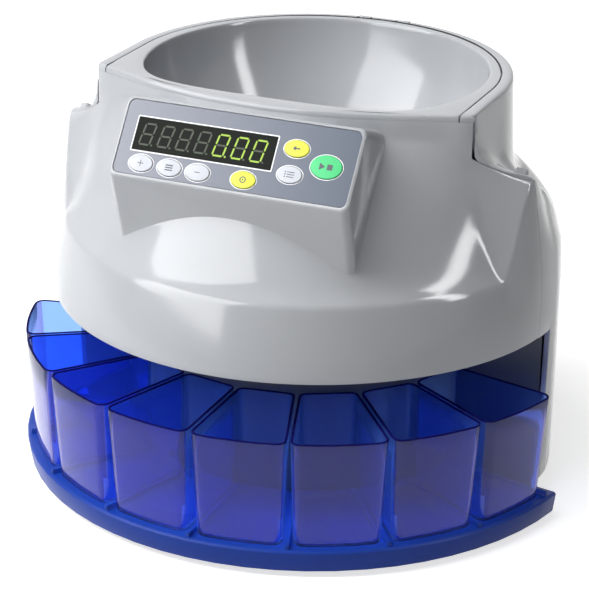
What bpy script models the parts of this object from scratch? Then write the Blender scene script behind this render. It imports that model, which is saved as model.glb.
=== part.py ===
"""Coin sorting machine.

A bowl feeds coins to a spinning disc, which carries them over a slotted deck, and they drop into
eight wedge cups on a round tray. All sizes are in metres, +Z is up and the front faces -Y.
The drum's axis is the centre that nearly every piece is set out from.
"""

import math

import bmesh
import bpy
import numpy as np
from mathutils import Matrix, Vector

# Clearances and shared walls
SEAT = 0.0003
OVERRUN = 0.006
WALL = 0.003
SEAM = 0.0005
MERGE = 0.00005

# Tray and base
TRAY_R = 0.1775
TRAY_FOOT_INSET = 0.0017
TRAY_INNER_R = 0.104
TRAY_TOP = 0.0173
TRAY_FOOT = 0.0043
TRAY_WALL = 0.0028
TRAY_HALF_ANGLE = math.radians(79.5)
TRAY_EDGE_ROUND = 0.0012
RIB_WIDTH = 0.0024
RIB_HEIGHT = 0.003
RIB_INSET = 0.0023
FOOT_HEIGHT = 0.0045
FOOT_R = 0.010
FOOT_TAPER = 0.0015
FOOT_FRONT_R = 0.092
FOOT_REAR_R = 0.128
FOOT_FRONT_ANGLE = math.radians(38)
FOOT_REAR_ANGLE = math.radians(140)
PLATE_R = 0.1505
PLATE_THICK = 0.0025
RIM_WIDTH = 0.009
RIM_HEIGHT = 0.0052
RIM_START_ANGLE = math.radians(91)

# Cups
CUP_COUNT = 8
CUP_PITCH = math.radians(19.22)
CUP_RIM_Z = 0.084
CUP_RIM_INSET = 0.0012
CUP_FOOT_INSET = 0.005
CUP_INNER_INSET = 0.0022
CUP_HALF_GAP = 0.0009
CUP_DRAFT = 0.0017
CUP_WALL = 0.0015
CUP_CORNER = 0.006
CUP_INNER_CORNER = 0.005
CUP_FOOT_ROUND = 0.0016

# Core drum and sorting deck
DRUM_R = 0.102
DRUM_TOP = 0.112
DRUM_WING_THICK = 0.003
DRUM_WING_R = 0.1535
DECK_THICK = 0.004
DECK_FRONT_R = 0.1510
DECK_REAR_R = 0.1482
DECK_FRONT_ANGLE = math.radians(74)
SLOT_FROM_EDGE = 0.027
SLOT_R = DECK_FRONT_R - SLOT_FROM_EDGE
SLOT_WIDTH = 0.009
SLOT_GROWTH = 0.0008
SLOT_LENGTH = 0.017
SLOT_GROWTH_LENGTH = 0.0015
RAIL_R = 0.137
RAIL_THICK = 0.002
RAIL_HEIGHT = 0.011
SENSOR_SIZE = (0.016, 0.012, 0.018)
SENSOR_ANGLE = math.radians(98)

# Feed disc and its drive
DISC_R = 0.112
DISC_THICK = 0.0035
DISC_GAP = 0.0012
DISC_HUB_R = 0.016
DISC_HUB_HEIGHT = 0.009
FIN_COUNT = 6
FIN_LENGTH = 0.066
FIN_WIDTH = 0.004
FIN_HEIGHT = 0.003
FIN_R = 0.128
SPINDLE_R = 0.005
BORE_GAP = 0.00005
BEARING_R = 0.011
BEARING_HEIGHT = 0.007
BOSS_R = 0.016
BOSS_DEPTH = 0.020
PULLEY_R = 0.040
PULLEY_HEIGHT = 0.010
PULLEY_DROP = 0.004
GROOVE_DEPTH = 0.002
GROOVE_HEIGHT = 0.0066
MOTOR_PULLEY_R = 0.0125
BELT_THICK = 0.0014
BELT_HEIGHT = 0.0056
MOTOR_OFFSET = 0.062
MOTOR_R = 0.021
MOTOR_HEIGHT = 0.046
MOTOR_SHAFT_R = 0.0025
MOTOR_COLLAR_R = 0.007
MOTOR_COLLAR_HEIGHT = 0.002
BRACKET_WIDTH = 0.066
BRACKET_LENGTH = 0.046
BRACKET_THICK = 0.0022
BRACKET_DROP = 0.0025

# Front cover: skirt, crease, cone, neck
SKIRT_R = 0.1565
SKIRT_Z = 0.1118
CREASE_R = 0.146
CREASE_Z = 0.1536
CONE_TOP_R = 0.0947
CONE_TOP_Z = 0.2356
WING_TOP_Z = 0.230
NECK_FRONT = 0.0822
NECK_SIDE = 0.1185
NECK_RISE = 0.002
PARTING_X = 0.195
PARTING_LEAN = math.radians(33.69)
SHOULDER_Z = 0.2087
BULGE_X = 0.1563

# Panel box on the front cover
BOX_HALF_WIDTH = 0.0737
PANEL_FRONT_Y = 0.1255
PANEL_FRONT_Z = 0.210
PANEL_BACK_Y = 0.098
PANEL_BACK_Z = 0.24905
BOX_FOOT_Y = 0.1116
BOX_FOOT_Z = 0.160
BOX_NECK_Y = 0.063
BOX_NECK_Z = 0.2365
BOX_ROUND = 0.0016
BOX_CORNER = 0.0045
OVERLAY_HALF_WIDTH = 0.07155
OVERLAY_LOW = 0.0019
OVERLAY_HIGH = 0.046
OVERLAY_CORNER = 0.004
OVERLAY_THICK = 0.0008
OVERLAY_RECESS = 0.0015
WINDOW_LEFT = 0.063
WINDOW_RIGHT = 0.023
WINDOW_LOW = 0.0167
WINDOW_HIGH = 0.036
WINDOW_PROUD = 0.0001
MODULE_DEPTH = 0.009
MODULE_MARGIN = 0.0015
KEY_RADII = (0.0074, 0.0049)
START_KEY_RADII = (0.0093, 0.0067)
KEY_PROUD = 0.0009
KEY_GAP = 0.0003
KEY_TRAVEL = 0.0005
KEY_FLANGE = 0.001
KEY_FLANGE_THICK = 0.0008
KEY_PLACES = {
    "key_plus": (-0.055, 0.009),
    "key_stack": (-0.037, 0.0088),
    "key_minus": (-0.0194, 0.0087),
    "key_set": (0.0088, 0.0087),
    "key_clear": (0.0357, 0.031),
    "key_list": (0.0352, 0.0157),
    "key_start": (0.0554, 0.0231),
}
BOARD_THICK = 0.0016
BOARD_MARGIN = 0.003

# Rear housing and collar
HOUSING_R = 0.152
COLUMN_FRONT = 0.010
FLANGE_TOP = 0.2496
FLANGE_THICK = 0.0036
LEDGE_WIDTH = 0.0045
LIP_REACH = 0.0012
BLEND_START = math.radians(80)
BLEND_END = math.radians(112)
SIDE_DROP = 0.5

# Hopper bowl
SEAM_R = 0.111
HOPPER_GAP = 0.0008
HOPPER_INSET = 0.0006
HOPPER_EDGE_ROUND = 0.0035
SEAM_ROUND = 0.0005
BOWL_CENTRE_Y = 0.0035
BOWL_R = 0.1035
BOWL_FRONT = 0.0737
BOWL_ROUND = 0.002
BOWL_WALL = 0.0024
THROAT_R = 0.045
THROAT_Z = 0.150
HINGE_Y = 0.1146
HINGE_Z = 0.2474
HINGE_HALF_SPAN = 0.013
EAR_WIDTH = 0.008
EAR_R = 0.0026
EAR_GAP = 0.0008
PIN_R = 0.0010
PIN_HALF_LENGTH = 0.0225
PIN_STEPS = 16

# Electrical pieces behind
SUPPLY_SIZE = (0.070, 0.022, 0.060)
SUPPLY_Y = 0.1145
BOARD_SIZE = (0.060, 0.0016, 0.070)
BOARD_ANGLE = math.radians(118)
BOARD_FROM_HOUSING = 0.028
BOARD_R = HOUSING_R - BOARD_FROM_HOUSING
INLET_SIZE = (0.027, 0.020)
SWITCH_SIZE = (0.021, 0.0145)
PORT_SIZE = (0.018, 0.009)
INLET_ANGLE = math.radians(166)
SWITCH_ANGLE = math.radians(181)
PORT_ANGLE = math.radians(195)
SOCKET_Z = 0.034
SOCKET_DEPTH = 0.014
SOCKET_LIP = 0.003
SOCKET_LIP_THICK = 0.0022
SOCKET_INSET = 0.0012
POCKET_DEPTH = 0.0095
POCKET_WALL = 0.0028
ROCKER_PIVOT = 0.0045
ROCKER_FRONT = 0.003
ROCKER_DIP = 0.0012
ROCKER_BACK = 0.003
ROCKER_GAP = 0.0006

# Outlines as shares, from bottom to top, of the sizes named beside them
# Width at the parting line: share of BULGE_X over NECK_SIDE, and height of FLANGE_TOP
PARTING_WIDTH_SHARES = (0.955, 1.0, 0.955, 0.865, 0.82, 0.754, 0.41, 0.225, 0.08, 0.026, 0.0)
PARTING_HEIGHT_SHARES = (0.051, 0.561, 0.661, 0.785, 0.836, 0.848, 0.866, 0.882, 0.918, 0.962, 1.0)
# Rear wall: share of HOUSING_R over NECK_SIDE, and height of FLANGE_TOP
REAR_WIDTH_SHARES = (1.0, 1.0, 0.99, 0.94, 0.88, 0.70, 0.445, 0.224, 0.09, 0.04, 0.0)
REAR_HEIGHT_SHARES = (0.051, 0.481, 0.591, 0.627, 0.654, 0.692, 0.73, 0.755, 0.789, 0.881, 1.0)
# Front cone: share of the way from the crease up to the neck, and how far out it still stands
CONE_HEIGHT_SHARES = (0.0, 0.07, 0.18, 0.34, 0.54, 0.77, 1.0)
CONE_FRONT_SHARES = (1.0, 0.885, 0.763, 0.613, 0.455, 0.235, 0.0)
CONE_END_POWER = 1.9
WALL_SHARES = (0.0, 0.35, 0.70, 0.92)
# Columns across the front cover, from its centre to past the parting line
COLUMN_SHARES = (0, 0.11, 0.22, 0.33, 0.44, 0.54, 0.64, 0.73, 0.80, 0.86, 0.905, 0.94, 0.97, 1.0, 1.02)
WING_START_SHARE = 0.87
SIDE_START_SHARE = 0.45
SKIRT_CURVE_SHARE = 1.15
# How far forward, as a share of NECK_FRONT, the bowl's front edge starts and ends its rounding
EDGE_START_SHARE = 0.45
EDGE_END_SHARE = 0.8
# Neck line in plan: shares of NECK_SIDE and of NECK_FRONT
NECK_X_SHARES = (0.0, 0.25, 0.456, 0.66, 0.85, 1.0, 1.1)
NECK_Y_SHARES = (1.0, 0.975, 0.918, 0.83, 0.72, 0.62, 0.30)
# Bowl wall: share of the depth, and share of the way out from the throat
BOWL_DEPTH_SHARES = (0.06, 0.24, 0.44, 0.64, 0.84, 1.0)
BOWL_WIDTH_SHARES = (0.985, 0.92, 0.79, 0.597, 0.30, 0.0)
BOWL_CORNER_POWER = 8
REAR_COLUMNS = 13
FRONT_COLUMN_SHARES = (1.12, 1.0, 0.78, 0.56, 0.28)
KEY_STEPS = 16
ROUND_STEPS = 48

# Derived places
AXIS_Y = (TRAY_R - HOUSING_R) / 2
TRAY_FOOT_R = TRAY_R - TRAY_FOOT_INSET
RIB_OUTER_R = TRAY_R - RIB_INSET
CUP_RIM_R = TRAY_R - CUP_RIM_INSET
CUP_FOOT_R = TRAY_R - CUP_FOOT_INSET
CUP_INNER_R = TRAY_INNER_R + CUP_INNER_INSET
PLATE_BOTTOM = FOOT_HEIGHT + SEAT
PLATE_TOP = PLATE_BOTTOM + PLATE_THICK
RIM_TOP = PLATE_BOTTOM + PLATE_THICK + RIM_HEIGHT
HOUSING_BOTTOM = RIM_TOP + SEAT
DECK_BOTTOM = DRUM_TOP + SEAT
DECK_TOP = DECK_BOTTOM + DECK_THICK
DISC_BOTTOM = DECK_TOP + DISC_GAP
PULLEY_TOP = DRUM_TOP - WALL - BOSS_DEPTH - PULLEY_DROP
PULLEY_MID = PULLEY_TOP - PULLEY_HEIGHT / 2
BRACKET_TOP = PULLEY_TOP - PULLEY_HEIGHT - BRACKET_DROP
LEDGE_Z = FLANGE_TOP - FLANGE_THICK - SEAT
PANEL_LENGTH = math.hypot(PANEL_FRONT_Y - PANEL_BACK_Y, PANEL_BACK_Z - PANEL_FRONT_Z)
PANEL_SLOPE = math.atan2(PANEL_BACK_Z - PANEL_FRONT_Z, PANEL_FRONT_Y - PANEL_BACK_Y)
OVERLAY_TOP = OVERLAY_THICK + SEAT - OVERLAY_RECESS
PANEL_WALL_BACK = -OVERLAY_RECESS - WALL

FINISHES = {
    "casing": ((0.62, 0.64, 0.66), 0.28, 0.0, 1.0),
    "tray": ((0.035, 0.08, 0.32), 0.4, 0.0, 1.0),
    "cup": ((0.02, 0.05, 0.75), 0.1, 0.0, 0.55),
    "dark": ((0.03, 0.035, 0.04), 0.5, 0.0, 1.0),
    "overlay": ((0.21, 0.24, 0.36), 0.4, 0.0, 1.0),
    "window": ((0.01, 0.02, 0.01), 0.1, 0.0, 1.0),
    "white": ((0.8, 0.8, 0.8), 0.4, 0.0, 1.0),
    "yellow": ((0.8, 0.8, 0.05), 0.4, 0.0, 1.0),
    "green": ((0.04, 0.5, 0.15), 0.4, 0.0, 1.0),
    "rubber": ((0.02, 0.02, 0.02), 0.8, 0.0, 1.0),
    "steel": ((0.55, 0.55, 0.56), 0.3, 1.0, 1.0),
    "board": ((0.02, 0.2, 0.08), 0.5, 0.0, 1.0),
}
KEY_FINISHES = {"key_set": "yellow", "key_clear": "yellow", "key_start": "green"}


def clear_scene():
    for obj in list(bpy.data.objects):
        bpy.data.objects.remove(obj, do_unlink=True)


def collection(name):
    found = bpy.data.collections.new(name)
    bpy.context.scene.collection.children.link(found)
    return found


def empty(name, place, parent=None, turn=(0, 0, 0)):
    obj = bpy.data.objects.new(name, None)
    obj.location = place
    obj.rotation_euler = turn
    obj.parent = parent
    PARTS.objects.link(obj)
    return obj


def finish(name, finish_name):
    """A material of the piece's own, with its colour, roughness, metallic value and clearness."""
    colour, roughness, metallic, alpha = FINISHES[finish_name]
    material = bpy.data.materials.new(name)
    material.use_nodes = True
    shader = material.node_tree.nodes["Principled BSDF"]
    shader.inputs["Base Color"].default_value = (*colour, 1)
    shader.inputs["Roughness"].default_value = roughness
    shader.inputs["Metallic"].default_value = metallic
    shader.inputs["Alpha"].default_value = alpha
    return material


def add(name, data, finish_name=None, parent=None, place=(0, 0, 0), turn=(0, 0, 0)):
    """Adds a piece, or a cutter where no finish is given."""
    obj = bpy.data.objects.new(name, data)
    obj.parent = parent or AXIS
    obj.location = place
    obj.rotation_euler = turn
    if finish_name is None:
        obj.hide_render = True
        obj.display_type = "WIRE"
        CUTTERS.objects.link(obj)
    else:
        if not data.materials:
            data.materials.append(finish(name, finish_name))
        PARTS.objects.link(obj)
    return obj


def mesh_of(bm, name, smooth_angle=math.radians(35)):
    mesh = bpy.data.meshes.new(name)
    bm.to_mesh(mesh)
    bm.free()
    mesh.shade_smooth()
    mesh.set_sharp_from_angle(angle=smooth_angle)
    return mesh


def box_mesh(name, size, centre=(0, 0, 0), bevel=0.0):
    bm = bmesh.new()
    bmesh.ops.create_cube(bm, size=1, matrix=Matrix.Translation(centre) @ Matrix.Diagonal((*size, 1)))
    if bevel:
        bmesh.ops.bevel(bm, geom=bm.edges[:], offset=bevel, segments=2, profile=0.5, affect="EDGES")
    return mesh_of(bm, name)


def rod_mesh(name, radius, low, high, steps=32, top_radius=None, centre=(0, 0)):
    bm = bmesh.new()
    place = Matrix.Translation((*centre, (low + high) / 2))
    top = radius if top_radius is None else top_radius
    bmesh.ops.create_cone(bm, cap_ends=True, segments=steps, radius1=radius, radius2=top,
                          depth=high - low, matrix=place)
    return mesh_of(bm, name)


def outline_edges(points, closed):
    """A mesh of edges alone through points in the plane of X and Z."""
    bm = bmesh.new()
    verts = [bm.verts.new((x, 0, z)) for x, z in points]
    for first, second in zip(verts, verts[1:]):
        bm.edges.new((first, second))
    if closed:
        bm.edges.new((verts[-1], verts[0]))
    return bm


def turned(name, points, finish_name, steps=ROUND_STEPS, closed=False, **where):
    """A turned piece: its section, listed from top to bottom on the outer side, swept once round."""
    obj = add(name, mesh_of(outline_edges(points, closed), name), finish_name, **where)
    screw = obj.modifiers.new("turn", "SCREW")
    screw.steps = steps
    screw.render_steps = steps
    screw.use_merge_vertices = True
    screw.merge_threshold = MERGE
    screw.use_smooth_shade = True
    return obj


def sector_mesh(name, points, start, stop, steps):
    """A closed section swept round the drum's axis from one angle to another."""
    bm = bmesh.new()
    turn = Matrix.Rotation(start - math.pi / 2, 3, "Z")
    face = bm.faces.new([bm.verts.new(turn @ Vector((x, 0, z))) for x, z in points])
    bmesh.ops.spin(bm, geom=[face, *face.edges, *face.verts], cent=(0, 0, 0), axis=(0, 0, 1),
                   dvec=(0, 0, 0), angle=stop - start, steps=steps, use_duplicate=False)
    bmesh.ops.recalc_face_normals(bm, faces=bm.faces[:])
    return mesh_of(bm, name)


def flat_plate(name, outlines, thickness, finish_name, **where):
    """A flat sheet from one outer outline and its holes, as a filled 2D curve."""
    curve = bpy.data.curves.new(name, "CURVE")
    curve.dimensions = "2D"
    curve.fill_mode = "BOTH"
    curve.extrude = thickness / 2
    for outline in outlines:
        spline = curve.splines.new("POLY")
        spline.points.add(len(outline) - 1)
        for point, (x, y) in zip(spline.points, outline):
            point.co = (x, y, 0, 1)
        spline.use_cyclic_u = True
    return add(name, curve, finish_name, **where)


def loft_mesh(name, rings, capped=True, loop=True):
    """Rings of equal count joined one to the next, with the first and last closed by a face."""
    bm = bmesh.new()
    rows = [[bm.verts.new(point) for point in ring] for ring in rings]
    count = len(rows[0])
    for low, high in zip(rows, rows[1:]):
        for i in range(count if loop else count - 1):
            j = (i + 1) % count
            bm.faces.new((low[i], low[j], high[j], high[i]))
    if capped:
        bm.faces.new(rows[0][::-1])
        bm.faces.new(rows[-1])
        bmesh.ops.recalc_face_normals(bm, faces=bm.faces[:])
    return mesh_of(bm, name)


def weld(mesh):
    """Joins a loft's last ring to its first, and turns its faces outward."""
    bm = bmesh.new()
    bm.from_mesh(mesh)
    bmesh.ops.remove_doubles(bm, verts=bm.verts[:], dist=MERGE)
    bmesh.ops.recalc_face_normals(bm, faces=bm.faces[:])
    bm.to_mesh(mesh)
    bm.free()


def rounded(corners, radii, steps):
    """An outline whose corners with a radius become arcs of that radius."""
    points = []
    for i, (corner, radius) in enumerate(zip(corners, radii)):
        here = Vector(corner)
        if not radius:
            points.append(here)
            continue
        to_last = (Vector(corners[i - 1]) - here).normalized()
        to_next = (Vector(corners[(i + 1) % len(corners)]) - here).normalized()
        half = to_last.angle(to_next) / 2
        centre = here + (to_last + to_next).normalized() * (radius / math.sin(half))
        start = here + to_last * (radius / math.tan(half)) - centre
        stop = here + to_next * (radius / math.tan(half)) - centre
        sweep = start.angle(stop)
        if start.x * stop.y < start.y * stop.x:
            sweep = -sweep
        for step in range(steps + 1):
            points.append(centre + Matrix.Rotation(sweep * step / steps, 2) @ start)
    return points


def rectangle(left, right, low, high, radius=0.0, steps=4):
    corners = [(left, low), (right, low), (right, high), (left, high)]
    return rounded(corners, [radius] * len(corners), steps)


def oval(radii, centre=(0, 0), steps=KEY_STEPS, grow=0.0):
    points = []
    for step in range(steps):
        angle = math.tau * step / steps
        points.append(Vector((centre[0] + (radii[0] + grow) * math.cos(angle),
                              centre[1] + (radii[1] + grow) * math.sin(angle))))
    return points


def polar(radius, angle, height=0.0):
    """A point at an angle measured from the front round to the right."""
    return Vector((radius * math.sin(angle), -radius * math.cos(angle), height))


def blend(first, second, share):
    return first + (second - first) * share


def ease(share):
    share = min(max(share, 0.0), 1.0)
    return share * share * (3 - 2 * share)


def lift(points, height):
    return [Vector((x, y, height)) for x, y in points]


def thicken(obj, thickness):
    solidify = obj.modifiers.new("wall", "SOLIDIFY")
    solidify.thickness = thickness
    solidify.offset = -1
    solidify.use_even_offset = True
    solidify.use_quality_normals = True


def mirror(obj):
    modifier = obj.modifiers.new("other half", "MIRROR")
    modifier.merge_threshold = MERGE


def boolean(obj, tool, operation="DIFFERENCE"):
    modifier = obj.modifiers.new(tool.name, "BOOLEAN")
    modifier.object = tool
    modifier.operation = operation
    modifier.solver = "EXACT"


def cut_box(obj, name, size, centre, parent=None, turn=(0, 0, 0), operation="DIFFERENCE"):
    tool = add(name, box_mesh(name, size), parent=parent, place=centre, turn=turn)
    boolean(obj, tool, operation)
    return tool


# Tray, base plate and feet


def tray_section(inset):
    """The tray's section, or the hollow under it where an inset is given."""
    low = TRAY_FOOT - (OVERRUN if inset else 0)
    return [
        (TRAY_INNER_R + inset, low),
        (TRAY_FOOT_R - inset, low),
        (TRAY_R - inset, TRAY_TOP - inset - TRAY_EDGE_ROUND),
        (TRAY_R - inset - TRAY_EDGE_ROUND, TRAY_TOP - inset),
        (TRAY_INNER_R + inset, TRAY_TOP - inset),
    ]


def make_tray():
    steps = 28
    half = TRAY_HALF_ANGLE
    tray = add("base_tray", sector_mesh("base_tray", tray_section(0.0), -half, half, steps), "tray")
    inner = half - TRAY_WALL / TRAY_INNER_R
    hollow = add("tray_hollow", sector_mesh("tray_hollow", tray_section(TRAY_WALL), -inner, inner, steps))
    boolean(tray, hollow)
    # The plate under the tray passes below its inner wall
    plate_room = rod_mesh("tray_plate_room", PLATE_R + SEAT, -OVERRUN, PLATE_TOP + SEAT, ROUND_STEPS)
    boolean(tray, add("tray_plate_room", plate_room))
    for i in range(CUP_COUNT + 1):
        angle = (i - CUP_COUNT / 2) * CUP_PITCH
        length = RIB_OUTER_R - CUP_INNER_R
        middle = (RIB_OUTER_R + CUP_INNER_R) / 2
        height = RIB_HEIGHT + TRAY_WALL / 2
        place = polar(middle, angle, TRAY_TOP + RIB_HEIGHT - height / 2)
        cut_box(tray, f"tray_rib_{i + 1}", (RIB_WIDTH, length, height), place, turn=(0, 0, angle),
                operation="UNION")
    return tray


def make_bottom_plate():
    profile = [(0, PLATE_TOP), (PLATE_R, PLATE_TOP), (PLATE_R, PLATE_BOTTOM), (0, PLATE_BOTTOM)]
    plate = turned("bottom_plate", profile, "dark", ROUND_STEPS)
    low = PLATE_BOTTOM + SEAT
    section = [(PLATE_R - RIM_WIDTH, low), (PLATE_R - SEAT, low), (PLATE_R - SEAT, RIM_TOP),
               (PLATE_R - RIM_WIDTH, RIM_TOP)]
    rim = add("plate_rim", sector_mesh("plate_rim", section, RIM_START_ANGLE,
                                       math.tau - RIM_START_ANGLE, ROUND_STEPS // 2))
    boolean(plate, rim, "UNION")
    return plate


def make_feet():
    radius = FOOT_R - FOOT_TAPER
    spots = ((FOOT_FRONT_R, FOOT_FRONT_ANGLE), (FOOT_FRONT_R, -FOOT_FRONT_ANGLE),
             (FOOT_REAR_R, FOOT_REAR_ANGLE), (FOOT_REAR_R, -FOOT_REAR_ANGLE))
    for number, (reach, angle) in enumerate(spots, 1):
        name = f"foot_{number}"
        add(name, rod_mesh(name, radius, 0, FOOT_HEIGHT, 24, top_radius=FOOT_R), "rubber",
            place=polar(reach, angle))


# Cups


def cup_outline(outer, inner, gap, corner, inner_corner):
    """A wedge between two lines beside the cup's gaps, with an arc for its outer wall."""
    half = CUP_PITCH / 2
    outer_corners = []
    inner_corners = []
    for side in (-1, 1):
        along = Vector((side * math.sin(half), -math.cos(half)))
        inward = Vector((-side * math.cos(half), -math.sin(half)))
        outer_corners.append(along * math.sqrt(outer * outer - gap * gap) + inward * gap)
        inner_corners.append(along * ((inner - gap * math.sin(half)) / math.cos(half)) + inward * gap)
    reach = half - math.asin(gap / outer)
    arc = [polar(outer, reach * share).xy for share in (-0.66, -0.33, 0, 0.33, 0.66)]
    corners = [inner_corners[0], outer_corners[0], *arc, outer_corners[1], inner_corners[1]]
    radii = [inner_corner, corner, *[0] * len(arc), corner, inner_corner]
    return rounded(corners, radii, 3)


def cup_ring(height_share, inset, height):
    """The cup's outline at a share of its height, drawn in by an inset."""
    outer = blend(CUP_FOOT_R, CUP_RIM_R, height_share) - inset
    inner = CUP_INNER_R + CUP_DRAFT * (1 - height_share) + inset
    gap = CUP_HALF_GAP + CUP_DRAFT * (1 - height_share) + inset
    corner = max(CUP_CORNER - inset, CUP_WALL)
    inner_corner = max(CUP_INNER_CORNER - inset, CUP_WALL)
    return lift(cup_outline(outer, inner, gap, corner, inner_corner), height)


def make_cups():
    low = TRAY_TOP + SEAT
    floor = low + CUP_WALL
    floor_share = CUP_WALL / (CUP_RIM_Z - low)
    rings = [
        cup_ring(0, CUP_FOOT_ROUND, low),
        cup_ring(floor_share, 0, low + CUP_FOOT_ROUND),
        cup_ring(1, 0, CUP_RIM_Z),
        cup_ring(1, CUP_WALL, CUP_RIM_Z),
        cup_ring(floor_share, CUP_WALL, floor + CUP_FOOT_ROUND),
        cup_ring(floor_share, CUP_WALL + CUP_FOOT_ROUND, floor),
    ]
    mesh = loft_mesh("coin_cup", rings)
    for number in range(1, CUP_COUNT + 1):
        angle = (number - (CUP_COUNT + 1) / 2) * CUP_PITCH
        add(f"coin_cup_{number}", mesh, "cup", turn=(0, 0, angle))


# Core drum, deck, rail and sensor


def make_drum():
    low = PLATE_TOP + SEAT
    roof = DRUM_TOP - WALL
    boss = roof - BOSS_DEPTH
    bore = BEARING_R + BORE_GAP
    profile = [
        (bore, DRUM_TOP), (DRUM_R, DRUM_TOP), (DRUM_R, low), (DRUM_R - WALL, low),
        (DRUM_R - WALL, roof), (BOSS_R, roof), (BOSS_R, boss), (bore, boss),
    ]
    drum = turned("core_drum", profile, "dark", ROUND_STEPS, closed=True)
    height = DRUM_TOP - low
    length = DRUM_WING_R - DRUM_R + WALL / 2
    for side in (-1, 1):
        place = (side * (DRUM_WING_R - length / 2), -COLUMN_FRONT + DRUM_WING_THICK / 2, low + height / 2)
        cut_box(drum, f"drum_wing_{side}", (length, DRUM_WING_THICK, height - SEAT), place,
                operation="UNION")
    return drum


def deck_outline():
    """Wide where the front cover stands round it, and narrower inside the rear housing."""
    points = []
    for start, stop, radius in ((-DECK_FRONT_ANGLE, DECK_FRONT_ANGLE, DECK_FRONT_R),
                                (DECK_FRONT_ANGLE, math.tau - DECK_FRONT_ANGLE, DECK_REAR_R)):
        steps = ROUND_STEPS // 2
        points += [polar(radius, blend(start, stop, i / steps)).xy for i in range(steps + 1)]
    return points


def make_deck():
    """A flat deck with a slot over each cup, the slots growing from the first cup to the last."""
    outline = deck_outline()
    deck = loft_mesh("sorting_deck", [lift(outline, DECK_BOTTOM), lift(outline, DECK_TOP)])
    deck = add("sorting_deck", deck, "steel")
    low = DECK_BOTTOM - OVERRUN / 2
    high = DECK_TOP + OVERRUN / 2
    boolean(deck, add("deck_bore", rod_mesh("deck_bore", SPINDLE_R + DISC_GAP, low, high)))
    for i in range(CUP_COUNT):
        angle = (i - (CUP_COUNT - 1) / 2) * CUP_PITCH
        width = SLOT_WIDTH + SLOT_GROWTH * i
        length = SLOT_LENGTH + SLOT_GROWTH_LENGTH * i
        slot = rectangle(-length / 2, length / 2, -width / 2, width / 2, width / 4, 2)
        cutter = loft_mesh(f"deck_slot_{i + 1}", [lift(slot, low), lift(slot, high)])
        boolean(deck, add(f"deck_slot_{i + 1}", cutter, place=polar(SLOT_R, angle), turn=(0, 0, angle)))
    return deck


def make_rail():
    low = DECK_TOP + SEAT
    profile = [(RAIL_R, low + RAIL_HEIGHT), (RAIL_R + RAIL_THICK, low + RAIL_HEIGHT),
               (RAIL_R + RAIL_THICK, low), (RAIL_R, low)]
    turned("guide_rail", profile, "steel", ROUND_STEPS, closed=True)
    sensor_low = DISC_BOTTOM + DISC_THICK + FIN_HEIGHT + DISC_GAP
    place = polar(RAIL_R - SENSOR_SIZE[1] / 2 - 3 * SEAT, SENSOR_ANGLE, sensor_low + SENSOR_SIZE[2] / 2)
    add("coin_sensor", box_mesh("coin_sensor", SENSOR_SIZE), "dark", place=place, turn=(0, 0, SENSOR_ANGLE))


# Feed disc and its drive


def make_disc():
    top = DISC_BOTTOM + DISC_THICK
    hub_top = top + DISC_HUB_HEIGHT
    bore = SPINDLE_R + SEAT
    profile = [
        (0, hub_top), (DISC_HUB_R / 2, hub_top), (DISC_HUB_R, top), (DISC_R, top), (DISC_R, DISC_BOTTOM),
        (bore, DISC_BOTTOM), (bore, top), (0, top),
    ]
    disc = turned("feed_disc", profile, "dark", ROUND_STEPS)
    for i in range(FIN_COUNT):
        angle = math.tau * i / FIN_COUNT
        place = polar(FIN_R - FIN_LENGTH / 2, angle, top + FIN_HEIGHT / 2 - SEAT)
        cut_box(disc, f"disc_fin_{i + 1}", (FIN_WIDTH, FIN_LENGTH, FIN_HEIGHT), place,
                turn=(0, 0, angle), operation="UNION")
    return disc


def make_spindle():
    low = PULLEY_TOP - PULLEY_HEIGHT
    high = DISC_BOTTOM + DISC_THICK - SEAT
    add("spindle", rod_mesh("spindle", SPINDLE_R, low, high), "steel")
    roof = DRUM_TOP - BEARING_HEIGHT
    floor = DRUM_TOP - WALL - BOSS_DEPTH
    for name, base in (("bearing_upper", roof - SEAT), ("bearing_lower", floor + SEAT)):
        inner = SPINDLE_R + BORE_GAP
        profile = [(inner, base + BEARING_HEIGHT), (BEARING_R, base + BEARING_HEIGHT),
                   (BEARING_R, base), (inner, base)]
        turned(name, profile, "steel", 24, closed=True)


def pulley(name, radius, bore, finish_name, steps, place=(0, 0, 0)):
    """A flanged belt pulley about its own axis, with its middle at height zero."""
    half = PULLEY_HEIGHT / 2
    groove = GROOVE_HEIGHT / 2
    inner = radius - GROOVE_DEPTH
    profile = [
        (bore, half), (radius, half), (radius, groove), (inner, groove), (inner, -groove),
        (radius, -groove), (radius, -half), (bore, -half),
    ]
    return turned(name, profile, finish_name, steps, closed=True, place=place)


def belt_outline(first, second, grow):
    """The loop round two pulley grooves, with straight runs between them."""
    near = first + grow
    far = second + grow
    lean = math.asin((near - far) / MOTOR_OFFSET)
    points = []
    steps = 24
    for i in range(steps + 1):
        angle = lean + (math.pi - 2 * lean) * i / steps
        points.append(Vector((far * math.cos(angle), MOTOR_OFFSET + far * math.sin(angle))))
    for i in range(steps + 1):
        angle = math.pi - lean + (math.pi + 2 * lean) * i / steps
        points.append(Vector((near * math.cos(angle), near * math.sin(angle))))
    return points


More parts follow.
